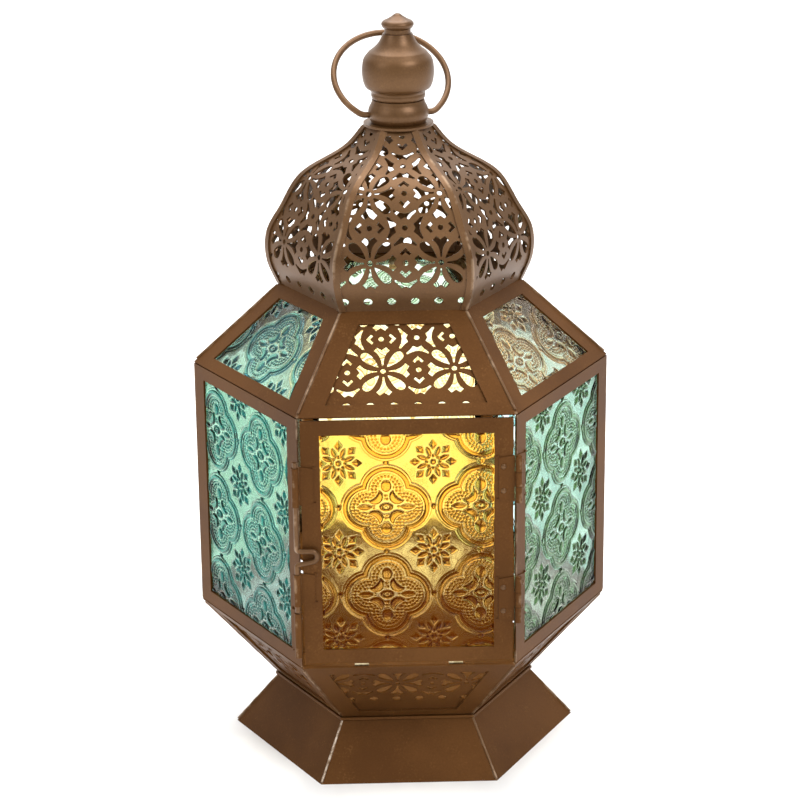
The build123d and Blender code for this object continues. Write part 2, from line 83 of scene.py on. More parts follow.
# Shader sockets that can be reckoned with.
class Sock:
    """An output socket. Arithmetic on it adds Math nodes to its tree."""

    def __init__(self, tree, out):
        self.tree = tree
        self.out = out

    def do(self, kind, inputs, out=0, **settings):
        """Add any node, set it, and give back one of its outputs."""
        node = self.tree.nodes.new(kind)
        for key, value in settings.items():
            setattr(node, key, value)
        for key, value in inputs.items():
            join(self.tree, node.inputs[key], value)
        return Sock(self.tree, node.outputs[out])

    def math(self, operation, a, b=0.0):
        return self.do("ShaderNodeMath", {0: a, 1: b}, operation=operation)

    def __add__(self, other):
        return self.math("ADD", self, other)

    def __sub__(self, other):
        return self.math("SUBTRACT", self, other)

    def __mul__(self, other):
        return self.math("MULTIPLY", self, other)

    def __truediv__(self, other):
        return self.math("DIVIDE", self, other)

    __radd__ = __add__
    __rmul__ = __mul__

    def step(self, low, high):
        """0 below low, 1 above high, smooth between; low may be the larger."""
        inputs = {"Value": self, "From Min": low, "From Max": high}
        return self.do("ShaderNodeMapRange", inputs, interpolation_type="SMOOTHSTEP")

    def noise(self, scale, detail=3.0, rough=0.55):
        inputs = {"Vector": self, "Scale": scale, "Detail": detail, "Roughness": rough}
        return self.do("ShaderNodeTexNoise", inputs)

    def mix(self, low, high):
        """Blend two colours by this factor."""
        inputs = {0: self, 6: low, 7: high}
        return self.do("ShaderNodeMix", inputs, out=2, data_type="RGBA")

    def bump(self, strength, distance):
        inputs = {"Height": self, "Strength": strength, "Distance": distance}
        return self.do("ShaderNodeBump", inputs)


def join(tree, target, value):
    if isinstance(value, Sock):
        tree.links.new(value.out, target)
    else:
        target.default_value = value


def new_material(name, **constants):
    """A material, a function that feeds its shader, and the object's own coordinates."""
    material = bpy.data.materials.new(name)
    material.use_nodes = True
    tree = material.node_tree
    shader = tree.nodes["Principled BSDF"]
    for key, value in constants.items():
        shader.inputs[key.replace("_", " ")].default_value = value
    coords = tree.nodes.new("ShaderNodeTexCoord")

    def feed(**inputs):
        for key, value in inputs.items():
            join(tree, shader.inputs[key.replace("_", " ")], value)

    return material, feed, Sock(tree, coords.outputs["Object"])


BRONZE_DARK = (0.096, 0.037, 0.0090, 1)
BRONZE_MID = (0.142, 0.058, 0.0155, 1)
BRONZE_GOLD = (0.25, 0.120, 0.040, 1)
WORN_EDGE = (0.48, 0.34, 0.22, 1)
TIN_DARK = (0.30, 0.22, 0.10, 1)
TIN_PALE = (0.72, 0.62, 0.40, 1)
SOLDER_DARK = (0.16, 0.09, 0.04, 1)
SOLDER_PALE = (0.62, 0.52, 0.42, 1)
# Paint: scale, detail and roughness of its noises, then where each shows, how much and how deep.
CLOUD, GRAIN, RUB = (24.0, 3.0), (1500.0, 2.0), (150.0, 4.0, 0.65)
CLOUD_SHARE, CLOUD_SPREAD = 0.75, (0.34, 0.68)
FLECK_SHARE, FLECK_SPREAD, FLECK_MOST = 0.5, (0.56, 0.72), 0.25
WEAR_WIDTH, WEAR_SPREAD, WEAR_RADIUS, WEAR_MOST = (0.0009, 0.0001), (0.48, 0.64), (0.015, 0.022), 0.4
CLOUD_DULLS, GRAIN_DULLS = 0.12, 0.06
PAINT_GRAIN_SHARE, PAINT_BUMP = 0.6, (0.14, 0.0002)
# Bare metal.
STREAK_DETAIL, STREAK_SHARE, STREAK_SPREAD = (4.0, 0.65), 0.7, (0.35, 0.65)
PATCH_FINER, PATCH_DETAIL = 5, 2.0
METAL_SHARE, METAL_DULL, STREAK_DULLS, METAL_BUMP = 0.9, 0.26, 0.2, (0.35, 0.0003)
# Glass: its noises, and the range of the tone over which each colour takes over; the tone holds
# painted shade and painted highlights.
GLASS_IOR, GLASS_SHINE, GLASS_DULL, SEED_DULLS = 1.5, 0.12, 0.12, 0.06
DRIFT, SEED, RIPPLE = (26.0, 2.0), (420.0, 2.0), (210.0, 1.0)
DRIFT_SHARE, DRIFT_SPREAD, DRIFT_MOST = 0.8, (0.3, 0.75), 0.22
TO_PAINTED_HIGHLIGHT, TO_DEEP, TO_PAINTED_SHADE_LINE = (-0.1, -0.5), (0.08, 0.48), (0.55, 1.0)
SEED_RIPPLES, GLASS_BUMP = 0.2, (0.25, 0.0004)


def bronze_paint(name, metallic, gloss, dull, tint):
    """Brown-gold paint, softly clouded, finely grained and rubbed along the plan's corners."""
    material, feed, at = new_material(name, Metallic=metallic, Specular_IOR_Level=gloss)
    shades = (BRONZE_DARK, BRONZE_MID)
    dark, mid = ((*(t * c for t, c in zip(tint, colour)), 1) for colour in shades)
    cloud, grain, rub = (at.noise(*kind) for kind in (CLOUD, GRAIN, RUB))
    x = at.do("ShaderNodeSeparateXYZ", {"Vector": at}, out="X")
    y = Sock(at.tree, x.out.node.outputs["Y"])
    angle = x.math("ARCTAN2", y, x)
    sixth = angle.math("PINGPONG", angle, pi / 6)
    radius = x.math("SQRT", x * x + y * y)
    near = (sixth * radius).step(*WEAR_WIDTH)
    edge = near * rub.step(*WEAR_SPREAD) * radius.step(*WEAR_RADIUS)
    fleck = (rub * FLECK_SHARE + grain * (1 - FLECK_SHARE)).step(*FLECK_SPREAD)
    colour = (cloud * CLOUD_SHARE + grain * (1 - CLOUD_SHARE)).step(*CLOUD_SPREAD).mix(dark, mid)
    colour = (fleck * FLECK_MOST).mix(colour, BRONZE_GOLD)
    colour = (edge * WEAR_MOST).mix(colour, WORN_EDGE)
    rough = grain * PAINT_GRAIN_SHARE + rub * (1 - PAINT_GRAIN_SHARE)
    feed(Base_Color=colour, Normal=rough.bump(*PAINT_BUMP))
    feed(Roughness=dull + cloud * CLOUD_DULLS + grain * GRAIN_DULLS)
    return material


def plain_metal(name, dark, pale, scale):
    """Bare metal, streaked and dulled in patches."""
    material, feed, at = new_material(name, Metallic=METAL_SHARE)
    streak = at.noise(scale, *STREAK_DETAIL)
    patch = at.noise(scale * PATCH_FINER, PATCH_DETAIL)
    blend = (streak * STREAK_SHARE + patch * (1 - STREAK_SHARE)).step(*STREAK_SPREAD)
    feed(Base_Color=blend.mix(dark, pale), Normal=patch.bump(*METAL_BUMP))
    feed(Roughness=METAL_DULL + streak * STREAK_DULLS)
    return material


def pressed_glass(name, *colours):
    """Coloured pressed glass, deeper where it is thick, with painted shade along its flanks and
    painted highlights beside them.
    """
    ground, deep, line, light = ((*colour, 1) for colour in colours)
    shine = (GLASS_SHINE, GLASS_SHINE, GLASS_SHINE, 1)
    constants = {"Transmission_Weight": 1.0, "IOR": GLASS_IOR, "Specular_Tint": shine}
    material, feed, at = new_material(name, **constants)
    drift, seed, ripple = (at.noise(*kind) for kind in (DRIFT, SEED, RIPPLE))
    tone_and_painted_light = at.do("ShaderNodeAttribute", {}, out="Fac", attribute_name="tone_and_painted_light")
    drift = (drift * DRIFT_SHARE + seed * (1 - DRIFT_SHARE)).step(*DRIFT_SPREAD)
    tint = (drift * DRIFT_MOST).mix(ground, deep)
    # Negative tone turns to the light colour: a painted highlight on the clear lines, halos and upward
    # flanks.
    tint = tone_and_painted_light.step(*TO_PAINTED_HIGHLIGHT).mix(tint, light)
    tint = tone_and_painted_light.step(*TO_DEEP).mix(tint, deep)
    # High tone turns to the line colour: painted shade along the relief's flanks.
    feed(Base_Color=tone_and_painted_light.step(*TO_PAINTED_SHADE_LINE).mix(tint, line), Roughness=GLASS_DULL + seed * SEED_DULLS)
    feed(Normal=(ripple + seed * SEED_RIPPLES).bump(*GLASS_BUMP))
    return material


SATIN = {"metallic": 0.35, "gloss": 0.1, "dull": 0.42, "tint": (0.82, 0.82, 0.80)}
GLOSSY = {"metallic": 0.5, "gloss": 0.6, "dull": 0.30, "tint": (0.97, 1.10, 1.20)}
BRONZE = bronze_paint("bronze_paint", **SATIN)
BRONZE_GLOSS = bronze_paint("bronze_gloss", **GLOSSY)
TIN = plain_metal("tin", TIN_DARK, TIN_PALE, scale=240.0)
SOLDER = plain_metal("solder", SOLDER_DARK, SOLDER_PALE, scale=420.0)
# Each glass: its ground, its deep colour, the painted shade along a flank, and the painted highlight
# beside it.
GLASS_COLOURS = {
    "amber": ((0.96, 0.76, 0.24), (0.80, 0.31, 0.018), (0.07, 0.011, 0.001), (1.0, 0.96, 0.74)),
    "straw_backlit": ((0.98, 0.91, 0.60), (0.93, 0.66, 0.20), (0.30, 0.11, 0.01), (1.0, 0.98, 0.88)),
    "green": ((0.52, 0.74, 0.58), (0.06, 0.19, 0.05), (0.020, 0.04, 0.008), (0.86, 0.97, 0.90)),
    "teal": ((0.44, 0.77, 0.67), (0.003, 0.20, 0.17), (0.002, 0.035, 0.032), (0.84, 0.97, 0.94)),
    "honey": ((0.98, 0.90, 0.74), (0.80, 0.50, 0.22), (0.22, 0.10, 0.03), (1.0, 0.97, 0.90)),
    "sea": ((0.80, 0.95, 0.96), (0.10, 0.42, 0.44), (0.008, 0.06, 0.07), (0.92, 0.99, 0.98)),
    "mint_backlit": ((0.76, 0.93, 0.80), (0.22, 0.42, 0.20), (0.03, 0.06, 0.015), (0.92, 0.99, 0.95)),
}
GLASS = {name: pressed_glass(f"glass_{name}", *four) for name, four in GLASS_COLOURS.items()}


# Pieces: each is a mesh in the shared frame that rides on one body.
def turn(points, degrees):
    """Points turned about the upright axis."""
    c, s = cos(radians(degrees)), sin(radians(degrees))
    spin = np.array(((c, -s, 0), (s, c, 0), (0, 0, 1)))
    return np.asarray(points, float) @ spin.T


def circle(count):
    """Points of a unit circle."""
    angle = np.linspace(0, 2 * pi, count, endpoint=False)
    return np.stack([np.cos(angle), np.sin(angle)], -1)


def lengths(points):
    """The length along a line at each of its points."""
    return np.concatenate([[0], np.cumsum(np.hypot(*np.diff(points, axis=0).T))])


def new_object(name, data):
    thing = bpy.data.objects.new(name, data)
    bpy.context.scene.collection.objects.link(thing)
    return thing


def keep(name, mesh, material, *replaced, body="lantern", slot="bronze_paint"):
    """Make an object of a mesh, and say what it rides on and stands for."""
    mesh.materials.clear()
    mesh.materials.append(material)
    piece = new_object(name, mesh)
    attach(piece, body)
    if replaced:
        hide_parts(*replaced)


def raw_mesh(points, edges=(), faces=()):
    """A mesh from points in millimetres."""
    mesh = bpy.data.meshes.new("mesh")
    mesh.from_pydata((np.asarray(points) * MM).tolist(), edges, faces)
    return mesh


def gathered(meshes, smooth_angle=None):
    """Closed meshes as one, their faces outwards; smooth but where faces meet at a larger angle."""
    work = bmesh.new()
    for mesh in meshes:
        work.from_mesh(mesh)
    bmesh.ops.recalc_face_normals(work, faces=work.faces)
    whole = bpy.data.meshes.new("gathered")
    work.to_mesh(whole)
    work.free()
    if smooth_angle is not None:
        whole.shade_smooth()
        whole.set_sharp_from_angle(angle=radians(smooth_angle))
    return whole


def mesh_of(points, faces, smooth_angle=None):
    """One closed mesh from points in millimetres."""
    return gathered([raw_mesh(points, faces=faces)], smooth_angle)


def turned_copy(mesh, degrees):
    copy = mesh.copy()
    copy.transform(Matrix.Rotation(radians(degrees), 4, "Z"))
    return copy


def loft(rings):
    """Faces over rows of points and over both ends; each row is a closed ring."""
    points = np.concatenate(rings)
    index = np.arange(len(points)).reshape(len(rings), -1)
    after = np.roll(index, -1, 1)
    quads = np.stack([index[:-1], after[:-1], after[1:], index[1:]], -1).reshape(-1, 4)
    return points, [*quads.tolist(), index[0, ::-1].tolist(), index[-1].tolist()]


class Side:
    """A flat side facing +X: u runs along it, v up it, and w outwards from its face."""

    def __init__(self, low_half, low_a, low_z, high_half, high_a, high_z):
        rise, draw = high_z - low_z, high_a - low_a
        self.length = hypot(rise, draw)
        self.low_half, self.high_half = low_half, high_half
        self.along = np.array((draw, 0, rise)) / self.length
        self.out = np.array((rise, 0, -draw)) / self.length
        self.origin = np.array((low_a, 0, low_z))

    def half_at(self, v):
        return self.low_half + (self.high_half - self.low_half) * v / self.length

    def outline(self, stile, sill, head):
        lean = hypot(self.length, self.high_half - self.low_half) / self.length
        low, high = sill, self.length - head
        low_u = self.half_at(low) - stile * lean
        high_u = self.half_at(high) - stile * lean
        return [(-low_u, low), (low_u, low), (high_u, high), (-high_u, high)]

    def place(self, u, v, w):
        u, v, w = (np.asarray(c, float)[..., None] for c in (u, v, w))
        return self.origin + u * np.array((0, 1, 0)) + v * self.along + w * self.out


def six_side(low_r, low_z, high_r, high_z):
    return Side(low_r / 2, low_r * COS30, low_z, high_r / 2, high_r * COS30, high_z)


WALL = six_side(BODY_R, WALL_Z, BODY_R, ROOF_Z)
ROOF = six_side(BODY_R, ROOF_Z, ROOF_TOP_R, DOME_Z)
GALLERY = six_side(WAIST_R, GALLERY_Z, BODY_R, WALL_Z)
DOOR_HALF = BODY_R / 2 - DOOR_SIDE_GAP
DOOR_LOW, DOOR_HIGH = WALL_Z + DOOR_FOOT_GAP, ROOF_Z - DOOR_HEAD_GAP
DOOR = Side(DOOR_HALF, BODY_R * COS30, DOOR_LOW, DOOR_HALF, BODY_R * COS30, DOOR_HIGH)


# Pressed glass. The relief is a square lattice of quatrefoils, each a thin line, a rounded bead and
# a second line about a stippled field, with a floret in every gap and a bead where two meet.
# Lines are given by their place, width and height; leaves and petals by place, half length and width.
GLASS_PITCH = 32.5
GLASS_STEP = 0.27
RELIEF = 0.62
FIELD = 0.12
LOBE_AT, LOBE_R = 6.5, 6.3
INNER_LINE = (0.0, 0.3, 0.5)
OUTER_LINE = (2.45, 0.3, 0.42)
BORDER_AT, BORDER_HALF = 1.25, 1.0
STIPPLE_IN = -0.45
STIPPLE_PITCH = 1.2
STIPPLE_R = 0.38
STIPPLE_H = 0.27
HALO = 0.4
EYE = (1.75, 1.1, 0.32)
LEAF = (7.4, 2.9, 1.35)
BUD = (7.75, 2.3, 1.95)
HORN_OUT, HORN_IN = (5.45, 2.8), (9.7, 4.4)
HORN_SOFT = 0.7
FLORET_HEART = 1.0
FLORET_BEADS = (2.25, 0.55, 0.55)
FLORET_PETAL = (4.0, 2.1, 0.95)
FLORET_TIP = (6.3, 2.4, 1.75)
MEETING_R = 0.95
FIELD_EDGE = (0.2, -0.2)
LEAF_FOLD, LEAF_END, GEM_STEEP = 0.7, 0.5, 1.25
RELIEF_FROM, RELIEF_FULL = GLASS_LAP + 0.15, GLASS_LAP + 0.75
# Tone weights: body deepens the colour where the glass is thick; the clear weight gives a painted
# highlight, the flank weight painted shade, and the last lightens upward flanks and darkens downward
# ones as painted light from above.
BODY_TONE, CLEAR_PAINTED_HIGHLIGHT, FLANK_PAINTED_SHADE, PAINTED_LIGHT_FROM_ABOVE = 0.42, 0.6, 0.9, 0.3
BODY_EDGE, HALO_EDGE = (0.02, 0.5), 0.05
# How much of the painted highlight the halos round sprig and floret take.
HALO_PAINTED_HIGHLIGHT = 0.6
DOOR_MOTIF_AT = (-7.3, 13.1)
RIGHT_MOTIF_AT = (1.0, -8.5)
LEFT_MOTIF_AT = (10.1, -7.9)
ROOF_RIGHT_MOTIF_AT = (-13.8, -4.9)
ROOF_LEFT_MOTIF_AT = (-0.5, -1.9)


def soft_step(value, low, high):
    t = np.clip((value - low) / (high - low), 0, 1)
    return t * t * (3 - 2 * t)


def line_ridge(distance, at, width, height):
    return height * np.exp(-(((distance - at) / width) ** 2))


def bead(x, y, a, b):
    """A rounded bead of unit height."""
    return np.sqrt(np.clip(1 - (x / a) ** 2 - (y / b) ** 2, 0, 1))


def leaf(x, y, a, b):
    """A pointed leaf with a fold along it."""
    room = np.clip(1 - (x / a) ** 2, 1e-6, 1)
    return np.clip(1 - np.abs(y) / (b * room), 0, 1) ** LEAF_FOLD * room**LEAF_END


def gem(x, y, a, b):
    """A lozenge with four facets."""
    return np.clip(GEM_STEEP * (1 - np.abs(x) / a - np.abs(y) / b), 0, 1)


def sprig(x, y, grow=0.0):
    """An eye, two leaves, two buds and four horns, drawn larger by grow."""
    wide, tall, line = EYE
    parts = [line_ridge(np.hypot(x / wide, y / tall), 1.0, line + grow, 1.0)]
    at, a, b = LEAF
    parts.append(leaf(np.abs(x) - at, y, a + grow, b + grow))
    at, a, b = BUD
    parts.append(bead(np.abs(y) - at, x, a + grow, b + grow))
    slant, cross = (np.abs(x) + np.abs(y)) / 2**0.5, (np.abs(x) - np.abs(y)) / 2**0.5
    depth = HORN_OUT[1] - np.hypot(slant - HORN_OUT[0], cross)
    depth = np.minimum(depth, np.hypot(slant - HORN_IN[0], cross) - HORN_IN[1]) + grow
    parts.append(bead(1 - np.clip(depth / HORN_SOFT, 0, 1), 0, 1, 1))
    return np.maximum.reduce(parts)


def quatrefoil(x, y):
    """The field, its border and the sprig on it: height, body, and the clear lines round them, which
    are given a painted highlight.
    """
    centres = [(LOBE_AT, 0), (0, LOBE_AT), (-LOBE_AT, 0), (0, -LOBE_AT)]
    reach = np.stack([np.hypot(x - cx, y - cy) for cx, cy in centres])
    lobe = reach.argmin(0)
    near = reach.min(0)
    beyond = near - LOBE_R
    spin = np.stack([np.arctan2(y - cy, x - cx) for cx, cy in centres])
    spin = np.take_along_axis(spin, lobe[None], 0)[0]

    raised, round_it = sprig(x, y), sprig(x, y, HALO) > HALO_EDGE
    row = np.round(near / STIPPLE_PITCH)
    count = np.maximum(1, np.round(2 * pi * row))
    across = near / STIPPLE_PITCH - row
    along = (spin / (2 * pi) * count) % 1 - 0.5
    dots = bead(across, along, STIPPLE_R, STIPPLE_R) * (beyond < STIPPLE_IN) * ~round_it
    field = FIELD * soft_step(beyond, *FIELD_EDGE) + STIPPLE_H * dots
    border = bead(beyond - BORDER_AT, 0, BORDER_HALF, 1)
    lines = np.maximum(line_ridge(beyond, *INNER_LINE), line_ridge(beyond, *OUTER_LINE))
    height = np.maximum.reduce([field, lines, RELIEF * border, RELIEF * raised])
    body = np.maximum.reduce([dots, border, raised])
    return height, body, np.maximum(lines / RELIEF, HALO_PAINTED_HIGHLIGHT * round_it)


def floret(x, y, grow=0.0):
    """A heart, eight beads, eight petals between them and eight pointed tips, drawn larger by grow."""
    sector = pi / 4
    out, angle = np.hypot(x, y), np.arctan2(y, x)
    parts = [bead(x, y, FLORET_HEART + grow, FLORET_HEART + grow)]
    for shape, (at, a, b), offset in (
        (bead, FLORET_BEADS, sector / 2),
        (leaf, FLORET_PETAL, 0),
        (gem, FLORET_TIP, sector / 2),
    ):
        turned = (angle + offset) % sector - sector / 2
        parts.append(shape(out * np.cos(turned) - at, out * np.sin(turned), a + grow, b + grow))
    return np.maximum.reduce(parts)


def pressed_relief(u, v):
    """Height of the pattern in millimetres, how much body it has, and the clear lines round it, which
    are given a painted highlight.
    """
    p = GLASS_PITCH
    x, y = (u + p / 2) % p - p / 2, (v + p / 2) % p - p / 2
    fx, fy = u % p - p / 2, v % p - p / 2
    height, body, clear = quatrefoil(x, y)
    meeting = np.maximum(bead(fx, y, MEETING_R, MEETING_R), bead(x, fy, MEETING_R, MEETING_R))
    blossom = np.maximum(floret(fx, fy), meeting)
    height = np.minimum(np.maximum(height, RELIEF * blossom), RELIEF)
    clear = np.maximum(clear, HALO_PAINTED_HIGHLIGHT * (floret(fx, fy, HALO) > HALO_EDGE))
    return height, np.maximum(body, blossom), clear


def pane_mesh(side, corners, degrees, motif_at):
    """A pane with its relief outwards, as a closed solid, plain where its frame covers it."""
    (_, low), (right, _), (high_u, high), _ = corners
    rows = int(round((high - low) / GLASS_STEP)) + 1
    columns = int(round(2 * max(right, high_u) / GLASS_STEP)) + 1
    v = np.linspace(low, high, rows)[:, None]
    half = right + (high_u - right) * (v - low) / (high - low)
    u = np.linspace(-1, 1, columns)[None, :] * half
    v = np.broadcast_to(v, u.shape)
    lean = hypot(high - low, high_u - right) / (high - low)
    margin = np.minimum.reduce([v - low, high - v, (half - np.abs(u)) / lean])
    height, body, clear = pressed_relief(u - motif_at[0], v - (low + high) / 2 - motif_at[1])
    height = height * soft_step(margin, RELIEF_FROM, RELIEF_FULL)
    front = side.place(u, v, height - SHEET).reshape(-1, 3)
    # Painted shade on the relief's flanks, darker on those facing down and lighter on those facing up,
    # as if lit from above.
    rise = np.gradient(height, (high - low) / (rows - 1), axis=0)
    sideways = np.gradient(height, axis=1) / (2 * half / (columns - 1))
    shade = FLANK_PAINTED_SHADE * np.hypot(rise, sideways) + PAINTED_LIGHT_FROM_ABOVE * rise
    body = soft_step(body, *BODY_EDGE)
    # The clear lines and halos lower the tone, towards the painted highlight.
    tone_and_painted_light = np.clip(BODY_TONE * body - CLEAR_PAINTED_HIGHLIGHT * clear * (1 - body) + shade, -1, 1)

    index = np.arange(rows * columns).reshape(rows, columns)
    quads = np.stack([index[:-1, :-1], index[:-1, 1:], index[1:, 1:], index[1:, :-1]], -1)
    rim = np.concatenate([index[0], index[1:, -1], index[-1, -2::-1], index[-2:0:-1, 0]])
    back = side.place(u.ravel()[rim], v.ravel()[rim], np.full(len(rim), -SHEET - GLASS_T))
    behind = np.arange(len(rim)) + rows * columns
    walls = np.stack([behind, np.roll(behind, -1), np.roll(rim, -1), rim], -1)
    points = turn(np.concatenate([front, back]), degrees)
    faces = quads.reshape(-1, 4).tolist() + walls.tolist() + [behind[::-1].tolist()]
    mesh = raw_mesh(points, faces=faces)
    mesh.polygons.foreach_set("use_smooth", np.arange(len(faces)) < quads.size // 4)
    tint = mesh.attributes.new("tone_and_painted_light", "FLOAT", "POINT")
    tint.data.foreach_set("value", np.concatenate([tone_and_painted_light.ravel(), np.zeros(len(rim))]))
    return mesh


def glaze():
    """Every pane: its side, its frame's borders, and where the pattern lies on the right and left."""
    kinds = {
        "wall": (WALL, (WALL_STILE, WALL_RAIL, WALL_RAIL), RIGHT_MOTIF_AT, LEFT_MOTIF_AT),
        "roof": (ROOF, (ROOF_STILE, ROOF_SILL, ROOF_HEAD), ROOF_RIGHT_MOTIF_AT, ROOF_LEFT_MOTIF_AT),
        "door": (DOOR, (DOOR_STILE, WALL_RAIL, WALL_RAIL), DOOR_MOTIF_AT, DOOR_MOTIF_AT),
    }
    for node, colour in GLASS_OF.items():
        kind, _, name = node.partition("_glass")
        side, borders, right_at, left_at = kinds[kind]
        corners = side.outline(*(border - GLASS_LAP for border in borders))
        degrees = SIDES[name.strip("_") or "front"]
        mesh = pane_mesh(side, corners, degrees, right_at if "right" in name else left_at)
        body = "door" if kind == "door" else "lantern"
        slot = "glass_" + PALER.get(colour, colour)
        keep(f"pressed_{node}", mesh, GLASS[colour], node, body=body, slot=slot)


# Geometry node trees with named inputs.
def node_tree(name, inputs):
    """A geometry tree, its inputs by name, and the socket that its result goes to."""
    tree = bpy.data.node_groups.new(name, "GeometryNodeTree")
    face = tree.interface
    face.new_socket("Geometry", in_out="INPUT", socket_type="NodeSocketGeometry")
    for title, kind in inputs.items():
        face.new_socket(title, in_out="INPUT", socket_type=f"NodeSocket{kind}")
    face.new_socket("Geometry", in_out="OUTPUT", socket_type="NodeSocketGeometry")
    start = tree.nodes.new("NodeGroupInput")
    end = tree.nodes.new("NodeGroupOutput")
    given = {out.name: Sock(tree, out) for out in start.outputs if out.name}

    def result(sock):
        tree.links.new(sock.out, end.inputs[0])

    return tree, given, result


def finished(geometry, finish):
    """The last two nodes of every tree."""
    real = geometry.do("GeometryNodeRealizeInstances", {"Geometry": geometry})
    return real.do("GeometryNodeSetMaterial", {"Geometry": real, "Material": finish})


def grown(tree, mesh, values):
    """The plain mesh that a geometry tree makes of another mesh."""
    carrier = new_object("carrier", mesh)
    modifier = carrier.modifiers.new("grow", "NODES")
    modifier.node_group = tree
    for item in tree.interface.items_tree:
        if item.in_out == "INPUT" and item.name in values:
            modifier[item.identifier] = values[item.name]
    graph = bpy.context.evaluated_depsgraph_get()
    made = bpy.data.meshes.new_from_object(carrier.evaluated_get(graph))
    bpy.data.objects.remove(carrier)
    return made


def sheet_tree():
    """Fills flat outlines, holes left open, and gives the sheet its thickness."""
    tree, given, result = node_tree("pierced_sheet", {"Thickness": "Float", "Finish": "Material"})
    curve = given["Geometry"].do("GeometryNodeMeshToCurve", {"Mesh": given["Geometry"]})
    flat = curve.do("GeometryNodeFillCurve", {"Curve": curve}, mode="TRIANGLES")
    pushed = {"Mesh": flat, "Offset Scale": given["Thickness"] * -1.0, "Individual": False}
    thick = flat.do("GeometryNodeExtrudeMesh", pushed)
    lid = flat.do("GeometryNodeFlipFaces", {"Mesh": flat})
    both = lid.do("GeometryNodeJoinGeometry", {})
    for part in (lid, thick):
        tree.links.new(part.out, both.out.node.inputs[0])
    welded = both.do("GeometryNodeMergeByDistance", {"Geometry": both, "Distance": WELD})
    result(finished(welded, given["Finish"]))
    return tree


SHEET_TREE = sheet_tree()


# Pierced sheets: a square lattice of flowers, knots and crosses, cut off where a border covers it.
# Motif outlines run out along +u from the motif's centre.
FRET_PITCH = 24.5
FRET_EDGE = 0.9
LEAST_HOLE = 0.7
DOT_R = 0.98
ROW_DOT_R = 1.55
ROW_DOT_PITCH = 8.15
ROUND_SIDES = 18
FRET_COLUMNS, FRET_ROWS, ROW_DOTS = range(-3, 4), range(-2, 4), range(-4, 4)
PETAL_FROM, PETAL_TO, PETAL_HALF, PETAL_SKEW = 2.1, 9.9, 2.45, 0.36
TAIL_SIDE = ((2.0, 0.28), (6.1, 0.35), (7.8, 2.85))
TAIL_END = ((9.2, 1.55), (8.15, 0.0))
CHEVRON = ((5.3, 0.0), (3.35, 2.0), (2.6, 1.25), (3.75, 0.0))
BAT_INNER = ((3.65, 0.0), (2.95, 1.4), (4.3, 2.5), (5.5, 3.85), (6.1, 4.0))
BAT_OUTER = ((6.35, 3.55), (5.2, 1.6), (5.15, 0.0))
DOME_FLOWER_AT, DOME_DOTS_AT, DOME_LOW = (13.1, 18.5), 3.9, 8.7
ROOF_FLOWER_AT, ROOF_DOTS_AT, ROOF_LOW, ROOF_TILT = (-7.6, 17.4), 4.2, 7.6, 1.6
GALLERY_FLOWER_AT, GALLERY_DOTS_AT, GALLERY_LOW, GALLERY_TILT = (-3.8, 24.2), 12.3, 14.4, -1.6


def bow(a, b, c, count=7):
    """Points on a curve from a to c that leans towards b."""
    t = np.linspace(0, 1, count)[:, None]
    a, b, c = (np.array(p, float) for p in (a, b, c))
    return (1 - t) ** 2 * a + 2 * t * (1 - t) * b + t * t * c


def two_sided(half):
    """A whole outline from its half on one side of the axis."""
    half = np.asarray(half, float)
    other = half[::-1] * (1, -1)
    return np.concatenate([half, other[np.abs(other[:, 1]) > WELD]])


def round_hole(radius):
    return radius * circle(ROUND_SIDES)


def petal_hole():
    c, s = circle(ROUND_SIDES).T
    along = (PETAL_FROM + PETAL_TO) / 2 + (PETAL_TO - PETAL_FROM) / 2 * c
    across = PETAL_HALF * s * (1 - PETAL_SKEW + PETAL_SKEW * c)
    return np.stack([along, across], -1)


def at_angle(outline, degrees, at):
    c, s = cos(radians(degrees)), sin(radians(degrees))
    return outline @ np.array(((c, s), (-s, c))) + np.asarray(at)


def fretwork(columns, rows):
    """Outlines of the lattice about one flower at the origin."""
    dot, petal = round_hole(DOT_R), petal_hole()
    tail = two_sided([*bow(*TAIL_SIDE), *TAIL_END])
    chevron = two_sided(CHEVRON)
    bat = two_sided([*BAT_INNER, *bow(*BAT_OUTER)])
    half = FRET_PITCH / 2
    holes = []
    for i in columns:
        for j in rows:
            flower = np.array((i, j)) * FRET_PITCH
            beside, above, cross = flower + (half, 0), flower + (0, half), flower + half
            holes += [at_angle(dot, 0, at) for at in (flower, beside, above, cross)]
            for quarter in (0, 90, 180, 270):
                holes.append(at_angle(petal, quarter + 45, flower))
                holes.append(at_angle(tail, quarter, flower))
                holes.append(at_angle(bat, quarter, cross))
            holes += [at_angle(chevron, angle, beside) for angle in (90, 270)]
            holes += [at_angle(chevron, angle, above) for angle in (0, 180)]
    return holes


def area_of(outline):
    u, v = outline[:, 0], outline[:, 1]
    return 0.5 * abs(np.dot(u, np.roll(v, -1)) - np.dot(v, np.roll(u, -1)))


def clipped(outline, region):
    """The part of an outline inside a convex region given anticlockwise."""
    points = list(outline)
    for a, b in zip(region, np.roll(region, -1, axis=0)):
        edge = b - a
        sides = [edge[0] * (p[1] - a[1]) - edge[1] * (p[0] - a[0]) for p in points]
        kept = []
        for k, (p, side) in enumerate(zip(points, sides)):
            q, other = points[k - 1], sides[k - 1]
            if (side >= 0) != (other >= 0):
                kept.append(q + (p - q) * other / (other - side))
            if side >= 0:
                kept.append(p)
        points = kept
    return np.array(points)


